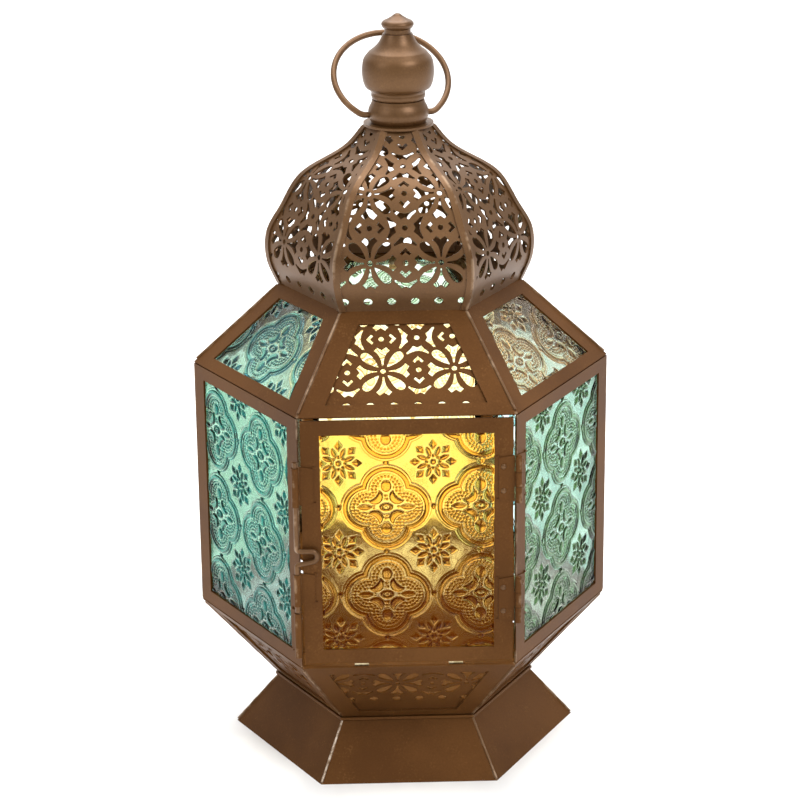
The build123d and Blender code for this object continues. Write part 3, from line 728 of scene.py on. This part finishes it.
def cut_pattern(flower_at, tilt, low, dots_at, region, dot_half):
    """Holes of one sheet: whole above its lower line, cut off at its other edges."""
    region = np.asarray(region, float)
    holes = []
    for hole in fretwork(FRET_COLUMNS, FRET_ROWS):
        hole = at_angle(hole, tilt, flower_at)
        if hole[:, 1].min() < low:
            continue
        hole = clipped(hole, region)
        if len(hole) > 2 and area_of(hole) > LEAST_HOLE:
            holes.append(hole)
    for k in ROW_DOTS:
        u = (k + 0.5) * ROW_DOT_PITCH
        if abs(u) + ROW_DOT_R < dot_half:
            holes.append(round_hole(ROW_DOT_R) + (u, dots_at))
    return holes


def pierced(outer, holes, bend, levels=(), thick=SCREEN_T):
    """A sheet with holes, cut across at some levels and then bent into place."""
    points, edges = [], []
    for outline in (np.asarray(outer, float), *holes):
        first, count = len(points), len(outline)
        points += [(u, v, 0.0) for u, v in outline]
        edges += [(first + k, first + (k + 1) % count) for k in range(count)]
    flat = bpy.data.meshes.new("outlines")
    flat.from_pydata(points, edges, [])
    mesh = grown(SHEET_TREE, flat, {"Thickness": thick, "Finish": BRONZE})
    work = bmesh.new()
    work.from_mesh(mesh)
    for level in levels:
        parts = [*work.verts, *work.edges, *work.faces]
        bmesh.ops.bisect_plane(work, geom=parts, plane_co=(0, level, 0), plane_no=(0, 1, 0))
    work.to_mesh(mesh)
    work.free()
    co = np.zeros(len(mesh.vertices) * 3)
    mesh.vertices.foreach_get("co", co)
    placed = bend(*co.reshape(-1, 3).T) * MM
    mesh.vertices.foreach_set("co", placed.ravel())
    mesh.update()
    return mesh


def screen(side, stile, sill, head, flower_at, tilt, low, dots_at):
    """The pierced screen behind one sloping frame."""
    region = side.outline(stile + FRET_EDGE, sill + FRET_EDGE, head + FRET_EDGE)
    half = side.half_at(dots_at) - stile - FRET_EDGE
    holes = cut_pattern(flower_at, tilt, low, dots_at, region, half)
    outer = side.outline(stile, sill, head)
    return pierced(outer, holes, lambda u, v, w: side.place(u, v, w - SHEET))


def flat_screens():
    """The screens of the roof and of the lower gallery."""
    edges = ROOF_STILE - SCREEN_LAP, ROOF_SILL - SCREEN_LAP, ROOF_HEAD - SCREEN_LAP
    mesh = screen(ROOF, *edges, ROOF_FLOWER_AT, ROOF_TILT, ROOF_LOW, ROOF_DOTS_AT)
    for name in ("front", "back_right", "back_left"):
        keep(f"fret_roof_{name}", turned_copy(mesh, SIDES[name]), BRONZE, f"roof_screen_{name}")
    sill = GALLERY_SILL - SCREEN_LAP + SHEET
    edges = GALLERY_STILE - SCREEN_LAP, sill, GALLERY_HEAD - GLASS_LAP
    pattern = GALLERY_FLOWER_AT, GALLERY_TILT, GALLERY_LOW, GALLERY_DOTS_AT
    mesh = screen(GALLERY, *edges, *pattern)
    whole = gathered([turned_copy(mesh, degrees) for degrees in SIDES.values()])
    keep("fret_gallery", whole, BRONZE, "gallery_screens")


# The dome, on a smooth line through the folds of the solids: corner radius and height.
DOME_FOLDS = ((43.5, 0.0), (47.1, 9.3), (46.9, 19.1), (41.8, 28.5))
DOME_FOLDS += ((35.9, 38.5), (16.7, 51.6), (12.0, 57.4))
DOME_POINTS, GORE_ROWS, GORE_TOP = 400, 40, 2.0
FRET_BENDS = (12.0, 19.6, 30.0, 41.2)
RIB_W, RIB_T = 2.0, 0.6
RIB_ROWS = 60
RIB_SHARP, GORE_SHARP = 25, 40
SEAM = 0.05


def smooth_line(points, steps):
    """A curve through points, with the slope at each taken from its neighbours."""
    points = np.asarray(points, float)
    knots = lengths(points)
    slope = np.gradient(points, knots, axis=0)
    at = np.linspace(0, knots[-1], steps)
    k = np.clip(np.searchsorted(knots, at, side="right") - 1, 0, len(knots) - 2)
    span = (knots[k + 1] - knots[k])[:, None]
    t = ((at - knots[k])[:, None]) / span
    start, end = points[k], points[k + 1]
    lift = (2 * t**3 - 3 * t**2 + 1) * start + (-2 * t**3 + 3 * t**2) * end
    return lift + span * ((t**3 - 2 * t**2 + t) * slope[k] + (t**3 - t**2) * slope[k + 1])


class Dome:
    """The gore's middle line: apothem, height and outward slope by length along it."""

    def __init__(self):
        line = smooth_line([(r * COS30, DOME_Z + h) for r, h in DOME_FOLDS], DOME_POINTS)
        self.s = lengths(line)
        self.line = line
        slope = np.gradient(line, self.s, axis=0)
        self.out = np.stack([slope[:, 1], -slope[:, 0]], -1)
        self.length = self.s[-1]

    def read(self, s):
        return [np.interp(s, self.s, row) for row in (*self.line.T, *self.out.T)]

    def place(self, u, s, w):
        """Bend flat points over the line; width is drawn in with depth, so the seams close."""
        a, z, out_a, out_z = self.read(s)
        deep = a + w * out_a
        return np.stack([deep, u * deep / a, z + w * out_z], -1)


def dome_pieces():
    dome = Dome()
    rows = np.linspace(0, dome.length, GORE_ROWS)
    half = dome.read(rows)[0] * TAN30 - SEAM
    right = np.stack([half, rows], -1)
    outer = np.concatenate([right, right[::-1] * (-1, 1)])
    knots = np.array([DOME_LOW - FRET_EDGE, *FRET_BENDS, dome.length - GORE_TOP])
    edge = np.stack([dome.read(knots)[0] * TAN30 - FRET_EDGE, knots], -1)
    region = np.concatenate([edge, edge[::-1] * (-1, 1)])
    dot_half = dome.read(DOME_DOTS_AT)[0] * TAN30
    holes = cut_pattern(DOME_FLOWER_AT, 0, DOME_LOW, DOME_DOTS_AT, region, dot_half)
    mesh = pierced(outer, holes, dome.place, rows[1:-1])
    mesh.shade_smooth()
    mesh.set_sharp_from_angle(angle=radians(GORE_SHARP))
    for name, degrees in SIDES.items():
        keep(f"fret_gore_{name}", turned_copy(mesh, degrees), BRONZE_GLOSS, f"dome_gore_{name}")
    dome_ribs(dome)


def dome_ribs(dome):
    """Six folded strips, one over each seam."""
    s = np.linspace(0, dome.length, RIB_ROWS)
    a, z, out_a, out_z = dome.read(s)
    over_a = a + RIB_T * out_a
    over_z = np.clip(z + RIB_T * out_z, DOME_Z, DOME_Z + DOME_FOLDS[-1][1])
    side = a * TAN30 - RIB_W
    lines = (a, side, z), (over_a, side, over_z), (over_a, over_a * TAN30, over_z), (a, a * TAN30, z)
    edge, over, ridge, root = (turn(np.stack(line, -1), -30) for line in lines)
    flip = (1, -1, 1)
    section = np.stack([edge, over, ridge, over * flip, edge * flip, root], 1)
    rib = mesh_of(*loft(list(section)))
    mesh = gathered([turned_copy(rib, 60 * k) for k in range(6)], RIB_SHARP)
    keep("smooth_ribs", mesh, BRONZE_GLOSS, "dome_ribs")


# The turned finial: radius and height of each piece, and its wires.
COLLAR = ((9.5, 230.6), (9.9, 231.3), (10.5, 232.7), (10.7, 234.3))
COLLAR += ((10.3, 236.0), (9.5, 237.6), (9.2, 238.8))
BULB_FOOT = ((8.7, 238.8), (9.3, 239.4), (9.55, 240.4), (9.5, 241.4), (9.9, 242.2))
BULB = ((9.9, 242.2), (11.3, 243.0), (12.1, 244.6), (12.6, 247.2))
BULB += ((12.6, 250.4), (12.0, 253.2), (10.2, 255.6))
BULB_NECK = ((10.2, 255.6), (8.4, 257.0), (6.9, 258.6), (5.9, 260.3), (5.2, 262.0))
CAP_FOOT = ((4.6, 262.0), (4.6, 263.6))
CAP = ((4.6, 263.6), (5.4, 264.4), (5.7, 265.4), (5.2, 266.2))
CAP += ((3.7, 267.0), (2.0, 268.0), (0.7, 268.9), (0.2, 269.0))
LATHE_SIDES, LATHE_FINER, LATHE_SHARP = 72, 6, 38
WIRE_SIDES, WIRE_SHARP, ASKEW = 20, 40, (0.31, 0.17, 0.94)


def rings_about(line, sides, axis=(0, 0)):
    """Rings about an upright axis, from radii and heights."""
    ring = np.pad(circle(sides), ((0, 0), (0, 1)))
    return [r * ring + (*axis, z) for r, z in line]


def lathe(name, lines, node):
    """A turned piece from its outer lines, sharp only where two lines meet at an angle."""
    line = np.concatenate([smooth_line(part, LATHE_FINER * len(part)) for part in lines])
    step = np.hypot(*np.diff(line, axis=0).T)
    line = line[np.concatenate([[True], step > WELD])]
    keep(name, mesh_of(*loft(rings_about(line, LATHE_SIDES)), LATHE_SHARP), BRONZE_GLOSS, node)


def tube(path, radius):
    """A round wire along a path, its ends closed."""
    path = np.asarray(path, float)
    ahead = np.gradient(path, axis=0)
    ahead /= np.linalg.norm(ahead, axis=1)[:, None]
    across = np.cross(ahead[0], ASKEW)
    c, s = circle(WIRE_SIDES).T[..., None]
    rings = []
    for point, way in zip(path, ahead):
        across = across - way * np.dot(across, way)
        across /= np.linalg.norm(across)
        rings.append(point + radius * (c * across + s * np.cross(way, across)))
    return loft(rings)


RING_WIRE_R, RING_R, RING_CENTRE, RING_BEND = 1.1, 20.5, 16.0, 4.0
RING_PIVOT_Z, RING_IN, RING_LEAN, RING_TURN = 233.6, 3.2, 50.0, 10.0
RING_BEND_POINTS, RING_ARC_POINTS, WIRE_BEND_POINTS = 14, 60, 11


def ring_wire():
    """The carrying ring: two pintles, two bends and one arc, leaning back."""
    end = ((RING_R - RING_CENTRE) * (RING_R + RING_CENTRE - 2 * RING_BEND)) ** 0.5
    meet = atan2(RING_BEND - RING_CENTRE, end)
    bend = np.linspace(-pi / 2, meet, RING_BEND_POINTS)[1:]
    arc = np.linspace(meet, pi / 2, RING_ARC_POINTS)[1:]
    right = [(end - RING_IN, 0.0), (end - RING_IN / 2, 0.0), (end, 0.0)]
    right += [(end + RING_BEND * cos(t), RING_BEND + RING_BEND * sin(t)) for t in bend]
    right += [(RING_R * cos(t), RING_CENTRE + RING_R * sin(t)) for t in arc]
    half = np.array(right)
    whole = np.concatenate([half, half[-2::-1] * (-1, 1)])
    lean = radians(RING_LEAN)
    path = np.stack([whole[:, 0], whole[:, 1] * sin(lean), whole[:, 1] * cos(lean)], -1)
    path = turn(path, RING_TURN) + (0, 0, RING_PIVOT_Z)
    mesh = mesh_of(*tube(path, RING_WIRE_R), WIRE_SHARP)
    keep("ring_wire", mesh, BRONZE_GLOSS, "carry_ring", body="ring")


BOLT_R = 0.85
BOLT_AXIS = (38.4238, -66.5519)
BOLT_TOP, BOLT_TIP = 127.8, 72.5
HANDLE_HIGH, HANDLE_NOSE, HANDLE_LOW, HANDLE_REACH = 95.15, 91.6, 90.15, 7.0
HANDLE_BEND, NOSE_BEND, SLEEVE_BEND = 1.3, 1.75, 0.95


def bent(route, radii):
    """Points along a flat route, its corners rounded."""
    route = np.array(route, float)
    path = [route[0]]
    for before, corner, after, radius in zip(route, route[1:], route[2:], radii):
        into = (before - corner) / np.linalg.norm(before - corner)
        away = (after - corner) / np.linalg.norm(after - corner)
        half = np.arccos(np.clip(np.dot(into, away), -1, 1)) / 2
        inward = (into + away) / np.linalg.norm(into + away)
        side = (into - away) / np.linalg.norm(into - away)
        middle = corner + inward * radius / sin(half)
        for t in np.linspace(half - pi / 2, pi / 2 - half, WIRE_BEND_POINTS):
            path.append(middle - radius * (inward * cos(t) + side * sin(t)))
    path.append(route[-1])
    return np.array(path)


def bolt_wire():
    """The bent wire bolt with its hairpin handle."""
    far = HANDLE_REACH
    route = [(0, BOLT_TOP), (0, HANDLE_HIGH), (far, HANDLE_HIGH), (far, HANDLE_NOSE)]
    route += [(0, HANDLE_LOW), (0, BOLT_TIP)]
    path = bent(route, (HANDLE_BEND, NOSE_BEND, NOSE_BEND, SLEEVE_BEND))
    deep = np.full(len(path), BOLT_AXIS[1])
    points = np.stack([path[:, 0] - BOLT_AXIS[0], deep, path[:, 1]], -1)
    mesh = mesh_of(*tube(points, BOLT_R), WIRE_SHARP)
    keep("bolt_wire", mesh, BRONZE_GLOSS, "latch_bolt", body="bolt")


# Hinges, sleeves and keeper: leaves of thin sheet that lie on the wall and roll outwards round a wire.
# Each is made at the right front corner, for the front side.
BODY_A = BODY_R * COS30
LEAF_T, LEAF_CLEAR, LEAF_ROUND, ROUND_POINTS = 0.42, 0.2, 1.0, 6
HINGE_AXIS, HINGE_ROLL, HINGE_LEAF_W, HINGE_H = (38.2217, -66.2019), 1.0, 6.4, 16.8
HINGE_LOWS, KNUCKLE_GAP = (67.0, 111.7), 0.15
SLEEVE_ROLL, SLEEVE_LEAF_W = 1.09, 5.6
SLEEVES, KEEPER = ((111.7, 125.8), (74.9, 86.6)), (55.5, 72.2)
ROLL_SWEEP, ROLL_POINTS, LEAF_SHARP = radians(318), 40, 35
PIN_R, PIN_HEAD_R, PIN_HEAD_T, PIN_SIDES = 0.6, 1.1, 0.5, 24
PIN_HEAD_TURN = np.linspace(0, 1.45, 7)
RIVET_R, RIVET_H, RIVET_X, RIVETS_UP = 0.95, 0.5, 33.0, (4.0, 12.8)


def rounded_leaf(low, high, width, knuckles, end):
    """The flat outline of a leaf: height, then length along it to the end of its roll."""
    turn_in = np.linspace(0, pi / 2, ROUND_POINTS)
    corner = [(LEAF_ROUND * (1 - sin(t)), LEAF_ROUND * (1 - cos(t))) for t in turn_in]
    outline = [(low + a, b) for a, b in corner]
    outline += [(high - a, b) for a, b in corner[::-1]]
    for top, foot in sorted(((b, a) for a, b in knuckles), reverse=True):
        outline += [(top, width), (top, end), (foot, end), (foot, width)]
    if knuckles[-1][1] < high:
        outline.insert(2 * len(corner), (high, width))
    if knuckles[0][0] > low:
        outline.append((low, width))
    return np.array(outline)


def rolled_leaf(axis, roll, width, span, knuckles):
    """A leaf with its knuckles rolled round an upright axis."""
    near = axis[0] - roll - LEAF_T / 2 - LEAF_CLEAR
    face = -BODY_A - LEAF_T / 2
    angle = pi / 2 - np.linspace(0, ROLL_SWEEP, ROLL_POINTS)
    wrap = np.stack([axis[0] + roll * np.cos(angle), axis[1] + roll * np.sin(angle)], -1)
    line = np.concatenate([[(near - width, face), (near, face)], wrap])
    s = lengths(line)
    ahead = np.gradient(line, s, axis=0)
    ahead[:2] = (1, 0)
    ahead /= np.linalg.norm(ahead, axis=1)[:, None]

    def bend(u, v, w):
        x, y, ahead_x, ahead_y = (np.interp(v, s, row) for row in (*line.T, *ahead.T))
        out = w + LEAF_T / 2
        return np.stack([x + out * ahead_y, y - out * ahead_x, u], -1)

    outline = rounded_leaf(*span, s[1], knuckles, s[-1])
    return pierced(outline, (), bend, s[1:-1], LEAF_T)


def over_corner(mesh):
    """The same leaf on the next wall, mirrored over the corner."""
    mesh.transform(Matrix.Scale(-1, 4, (COS30, 0.5, 0)))
    return mesh


def to_left(mesh):
    mesh.transform(Matrix.Scale(-1, 4, (1, 0, 0)))
    return mesh


def hinge_pin(low):
    """A pin with a low domed head."""
    top = low + HINGE_H
    line = [(PIN_R, low), (PIN_R, top)]
    line += [(PIN_HEAD_R * cos(t), top + PIN_HEAD_T * sin(t)) for t in PIN_HEAD_TURN]
    return mesh_of(*loft(rings_about(line, PIN_SIDES, HINGE_AXIS)))


def door_hardware():
    hinge = HINGE_AXIS, HINGE_ROLL, HINGE_LEAF_W
    sleeve = BOLT_AXIS, SLEEVE_ROLL, SLEEVE_LEAF_W
    third = HINGE_H / 3
    door_side, frame_side = [], []
    for low in HINGE_LOWS:
        span = (low, low + HINGE_H)
        middle = [(low + third + KNUCKLE_GAP, low + 2 * third - KNUCKLE_GAP)]
        outer = [(low, low + third), (low + 2 * third, low + HINGE_H)]
        door_side.append(rolled_leaf(*hinge, span, middle))
        frame_side.append(over_corner(rolled_leaf(*hinge, span, outer)))
    pins = [hinge_pin(low) for low in HINGE_LOWS]
    sleeves = [to_left(rolled_leaf(*sleeve, span, [span])) for span in SLEEVES]
    keeper = to_left(over_corner(rolled_leaf(*sleeve, KEEPER, [KEEPER])))
    for name, meshes, sharp, body, node in (
        ("rolled_door_leaves", door_side, LEAF_SHARP, "door", "hinge_leaves_door"),
        ("rolled_frame_leaves", frame_side, LEAF_SHARP, "lantern", "hinge_leaves_frame"),
        ("round_hinge_pins", pins, WIRE_SHARP, "lantern", "hinge_pins"),
        ("rolled_sleeves", sleeves, LEAF_SHARP, "door", "bolt_sleeves"),
        ("rolled_keeper", [keeper], LEAF_SHARP, "lantern", "bolt_keeper"),
    ):
        keep(name, gathered(meshes, sharp), BRONZE, node, body=body)


# Small repeats: rivet heads on the hinge leaves, and seams run along the corners.
# Corners are counted from +X; one corner of the foot is bare solder and the others are painted.
RIVET_SEGMENTS, RIVET_RINGS = 20, 10
SEAM_R, SEAM_WAVER, HIP_R, HIP_WAVER = 0.45, 0.7, 0.5, 0.4
SEAM_SIDES, SEAM_POINTS, WAVER_SCALE = 12, 40, 220.0
SEAM_LIFT, HIP_INSET, HIP_TOP_OUT, HIP_TOP_DOWN = 1.6, 1.2, 0.6, 0.8
BARE_CORNER, PAINTED_CORNERS, ALL_CORNERS = (4,), (0, 1, 2, 3, 5), range(6)


def rivet_tree():
    """A low domed head at each point, facing outwards."""
    inputs = {"Radius": "Float", "Height": "Float", "Facing": "Vector", "Finish": "Material"}
    tree, given, result = node_tree("rivet_heads", inputs)
    radius = given["Radius"]
    size = {"Segments": RIVET_SEGMENTS, "Rings": RIVET_RINGS, "Radius": radius}
    ball = radius.do("GeometryNodeMeshUVSphere", size)
    flat = ball.do("ShaderNodeCombineXYZ", {"X": 1.0, "Y": 1.0, "Z": given["Height"] / radius})
    low = ball.do("GeometryNodeTransform", {"Geometry": ball, "Scale": flat})
    head = low.do("GeometryNodeSetShadeSmooth", {"Geometry": low})
    spots = {"Points": given["Geometry"], "Instance": head, "Rotation": given["Facing"]}
    placed = head.do("GeometryNodeInstanceOnPoints", spots)
    result(finished(placed, given["Finish"]))
    return tree


def seam_tree():
    """A run bead along each edge, a little uneven in thickness."""
    inputs = {"Radius": "Float", "Points": "Int", "Waver": "Float", "Finish": "Material"}
    tree, given, result = node_tree("run_seams", inputs)
    curve = given["Geometry"].do("GeometryNodeMeshToCurve", {"Mesh": given["Geometry"]})
    fine = curve.do("GeometryNodeResampleCurve", {"Curve": curve, "Count": given["Points"]})
    place = fine.do("GeometryNodeInputPosition", {})
    waver = place.noise(WAVER_SCALE, 1.0, 0.5)
    swell = (waver - 0.5) * given["Waver"] + 1.0
    size = {"Resolution": SEAM_SIDES, "Radius": given["Radius"]}
    ring = fine.do("GeometryNodeCurvePrimitiveCircle", size)
    sweep = {"Curve": fine, "Profile Curve": ring, "Scale": swell, "Fill Caps": True}
    bead_run = fine.do("GeometryNodeCurveToMesh", sweep)
    soft = bead_run.do("GeometryNodeSetShadeSmooth", {"Geometry": bead_run})
    result(finished(soft, given["Finish"]))
    return tree


def rivet_heads():
    heights = [low + up for low in HINGE_LOWS for up in RIVETS_UP]
    points = np.array([(RIVET_X, -BODY_A - LEAF_T, z) for z in heights])
    tree = rivet_tree()
    for name, body, on_frame in (("door_rivets", "door", False), ("frame_rivets", "lantern", True)):
        spots = raw_mesh(points)
        if on_frame:
            over_corner(spots)
        facing = (pi / 2, 0, pi / 3 if on_frame else 0)
        sizes = {"Radius": RIVET_R * MM, "Height": RIVET_H * MM, "Facing": facing}
        sizes["Finish"] = BRONZE_GLOSS
        keep(name, grown(tree, spots, sizes), BRONZE_GLOSS, body=body)


def corner_seams():
    """Soldered corners of the foot, and the run hips of the gallery and roof."""
    tree = seam_tree()
    edge = BODY_R - HIP_INSET
    foot = (FOOT_R - SEAM_R, SEAM_R * SEAM_LIFT), (WAIST_R, FOOT_H - SEAM_R)
    gallery = (WAIST_R, GALLERY_Z + HIP_R), (edge, WALL_Z - HIP_INSET)
    roof = (edge, ROOF_Z + HIP_INSET), (ROOF_TOP_R + HIP_TOP_OUT, DOME_Z - HIP_TOP_DOWN)
    runs = (
        ("foot_seams", BARE_CORNER, SEAM_R, SEAM_WAVER, SOLDER, foot),
        ("foot_corners", PAINTED_CORNERS, SEAM_R, SEAM_WAVER, BRONZE_GLOSS, foot),
        ("gallery_hips", ALL_CORNERS, HIP_R, HIP_WAVER, BRONZE_GLOSS, gallery),
        ("roof_hips", ALL_CORNERS, HIP_R, HIP_WAVER, BRONZE_GLOSS, roof),
    )
    for name, corners, radius, waver, finish, ((low_r, low_z), (high_r, high_z)) in runs:
        points, edges = [], []
        for k in corners:
            edges.append((len(points), len(points) + 1))
            points += turn([(low_r, 0, low_z), (high_r, 0, high_z)], 60 * k).tolist()
        lines = raw_mesh(points, edges)
        sizes = {"Radius": radius * MM, "Points": SEAM_POINTS, "Waver": waver, "Finish": finish}
        slot = "tin" if finish is SOLDER else "bronze_paint"
        keep(name, grown(tree, lines, sizes), finish, slot=slot)


CLIP_SHORT = 0.25


def on_side(part, middle, up):
    """Whether all of a part lies below the middle, or above it where up is negative."""
    verts = [part] if isinstance(part, bmesh.types.BMVert) else part.verts
    return all((middle - vert.co.z) * up > 0 for vert in verts)


def short_clips():
    """The door's clips, cut short so that the frame hides them."""
    work = bmesh.new()
    work.from_mesh(NODES["door_glass_clips"].data)
    bmesh.ops.remove_doubles(work, verts=work.verts, dist=WELD * MM)
    middle = (DOOR_LOW + DOOR_HIGH) / 2
    levels = (DOOR_LOW + WALL_RAIL - CLIP_SHORT, 1), (DOOR_HIGH - WALL_RAIL + CLIP_SHORT, -1)
    for level, up in levels:
        parts = (*work.verts, *work.edges, *work.faces)
        near = [part for part in parts if on_side(part, middle * MM, up)]
        plane = {"plane_co": (0, 0, level * MM), "plane_no": (0, 0, up)}
        cut = bmesh.ops.bisect_plane(work, geom=near, clear_outer=True, **plane)["geom_cut"]
        rims = [part for part in cut if isinstance(part, bmesh.types.BMEdge)]
        bmesh.ops.holes_fill(work, edges=rims)
    mesh = bpy.data.meshes.new("clips")
    work.to_mesh(mesh)
    work.free()
    keep("short_door_clips", gathered([mesh]), TIN, "door_glass_clips", body="door", slot="tin")


glaze()
flat_screens()
dome_pieces()
lathe("turned_collar", [COLLAR], "finial_collar")
lathe("turned_bulb", [BULB_FOOT, BULB, BULB_NECK], "finial_bulb")
lathe("turned_cap", [CAP_FOOT, CAP], "finial_cap")
ring_wire()
bolt_wire()
door_hardware()
rivet_heads()
corner_seams()
short_clips()

FINISH = {"door_stops": TIN, "dome_crown": BRONZE_GLOSS}
for name, node in NODES.items():
    if node.hide_render:
        continue
    material = FINISH.get(name, TIN if name.endswith("_clips") else BRONZE)
    node.data.materials.clear()
    node.data.materials.append(material)


# Stage, light and camera: the floor's reach in millimetres, the others in metres and watts.
FLOOR_REACH, FLOOR_DARK, FLOOR_PALE = 6000.0, (0.86, 0.86, 0.86, 1), (0.90, 0.90, 0.90, 1)
FLOOR_DULL, FLOOR_NOISE = 0.8, (9.0, 2.0)
SKY = (1.0, 0.99, 0.97, 1)
SKY_LOW, SKY_MORE, SKY_RISE = 0.4, 0.6, (0.1, 0.8)
BACKDROP, BACKDROP_FROM = 1.0, (0.4, 0.9)
WHITE, CANDLE = (1, 1, 1), (1.0, 0.93, 0.78)
LIGHTS = {
    "key": ((0.9, -0.9, 1.3), (0, 0, 0.12), (0.8, 0.8), 15, WHITE),
    "fill": ((-1.1, -0.7, 0.9), (0, 0, 0.12), (0.7, 0.9), 4, WHITE),
    "top": ((0.0, 0.6, 1.8), (0, 0, 0.1), (1.6, 1.6), 40, WHITE),
    "inner": ((0, 0, 0.146), (0, 0, 0), (0.06, 0.06), 0.3, CANDLE),
}
CAMERA_DISTANCE = 0.9503
CAMERA_AIM = (-0.00045, 0.0, 0.12705)
CAMERA_AZIMUTH, CAMERA_HEIGHT, CAMERA_ROLL = radians(-1.564), radians(18.74), radians(-0.581)
CAMERA_LENS, CAMERA_SENSOR = 117.2, 36.0


def stage_floor():
    material, feed, at = new_material("pale_floor", Roughness=FLOOR_DULL)
    feed(Base_Color=at.noise(*FLOOR_NOISE).mix(FLOOR_DARK, FLOOR_PALE))
    corners = [(FLOOR_REACH * x, FLOOR_REACH * y, 0) for x, y in ((-1, -1), (1, -1), (1, 1), (-1, 1))]
    mesh = raw_mesh(corners, faces=[(0, 1, 2, 3)])
    mesh.materials.append(material)
    floor = new_object("floor", mesh)


def area_light(name, place, target, size, power, colour):
    light = bpy.data.lights.new(name, "AREA")
    light.shape = "RECTANGLE"
    light.size, light.size_y = size
    light.energy = power
    light.color = colour
    lamp = new_object(name, light)
    lamp.location = place
    aim = Vector(target) - Vector(place)
    lamp.rotation_euler = aim.to_track_quat("-Z", "Y").to_euler()
    return lamp


def photo_camera():
    """The camera as fitted to the photograph."""
    data = bpy.data.cameras.new("camera")
    data.lens = CAMERA_LENS
    data.sensor_width = CAMERA_SENSOR
    data.clip_start, data.clip_end = 0.01, 100.0
    camera = new_object("camera", data)
    place = Matrix.Translation(CAMERA_AIM)
    for angle, axis in ((CAMERA_AZIMUTH, "Z"), (pi / 2 - CAMERA_HEIGHT, "X"), (CAMERA_ROLL, "Z")):
        place = place @ Matrix.Rotation(angle, 4, axis)
    camera.matrix_world = place @ Matrix.Translation((0, 0, CAMERA_DISTANCE))
    bpy.context.scene.camera = camera


def soft_world():
    """A soft sky, bright overhead and behind the lantern, and dimmer round the sides."""
    world = bpy.data.worlds.new("studio")
    world.use_nodes = True
    tree = world.node_tree
    background = tree.nodes["Background"]
    background.inputs["Color"].default_value = SKY
    ways = Sock(tree, tree.nodes.new("ShaderNodeTexCoord").outputs["Generated"])
    up = ways.do("ShaderNodeSeparateXYZ", {"Vector": ways}, out="Z")
    back = Sock(tree, up.out.node.outputs["Y"])
    strength = SKY_LOW + SKY_MORE * up.step(*SKY_RISE) + BACKDROP * back.step(*BACKDROP_FROM)
    join(tree, background.inputs["Strength"], strength)
    bpy.context.scene.world = world


stage_floor()
soft_world()
lamps = {name: area_light(name, *settings) for name, settings in LIGHTS.items()}
inner = lamps["inner"]
inner.visible_camera = inner.visible_glossy = inner.visible_transmission = False
photo_camera()
bpy.context.scene.view_settings.view_transform = "Standard"
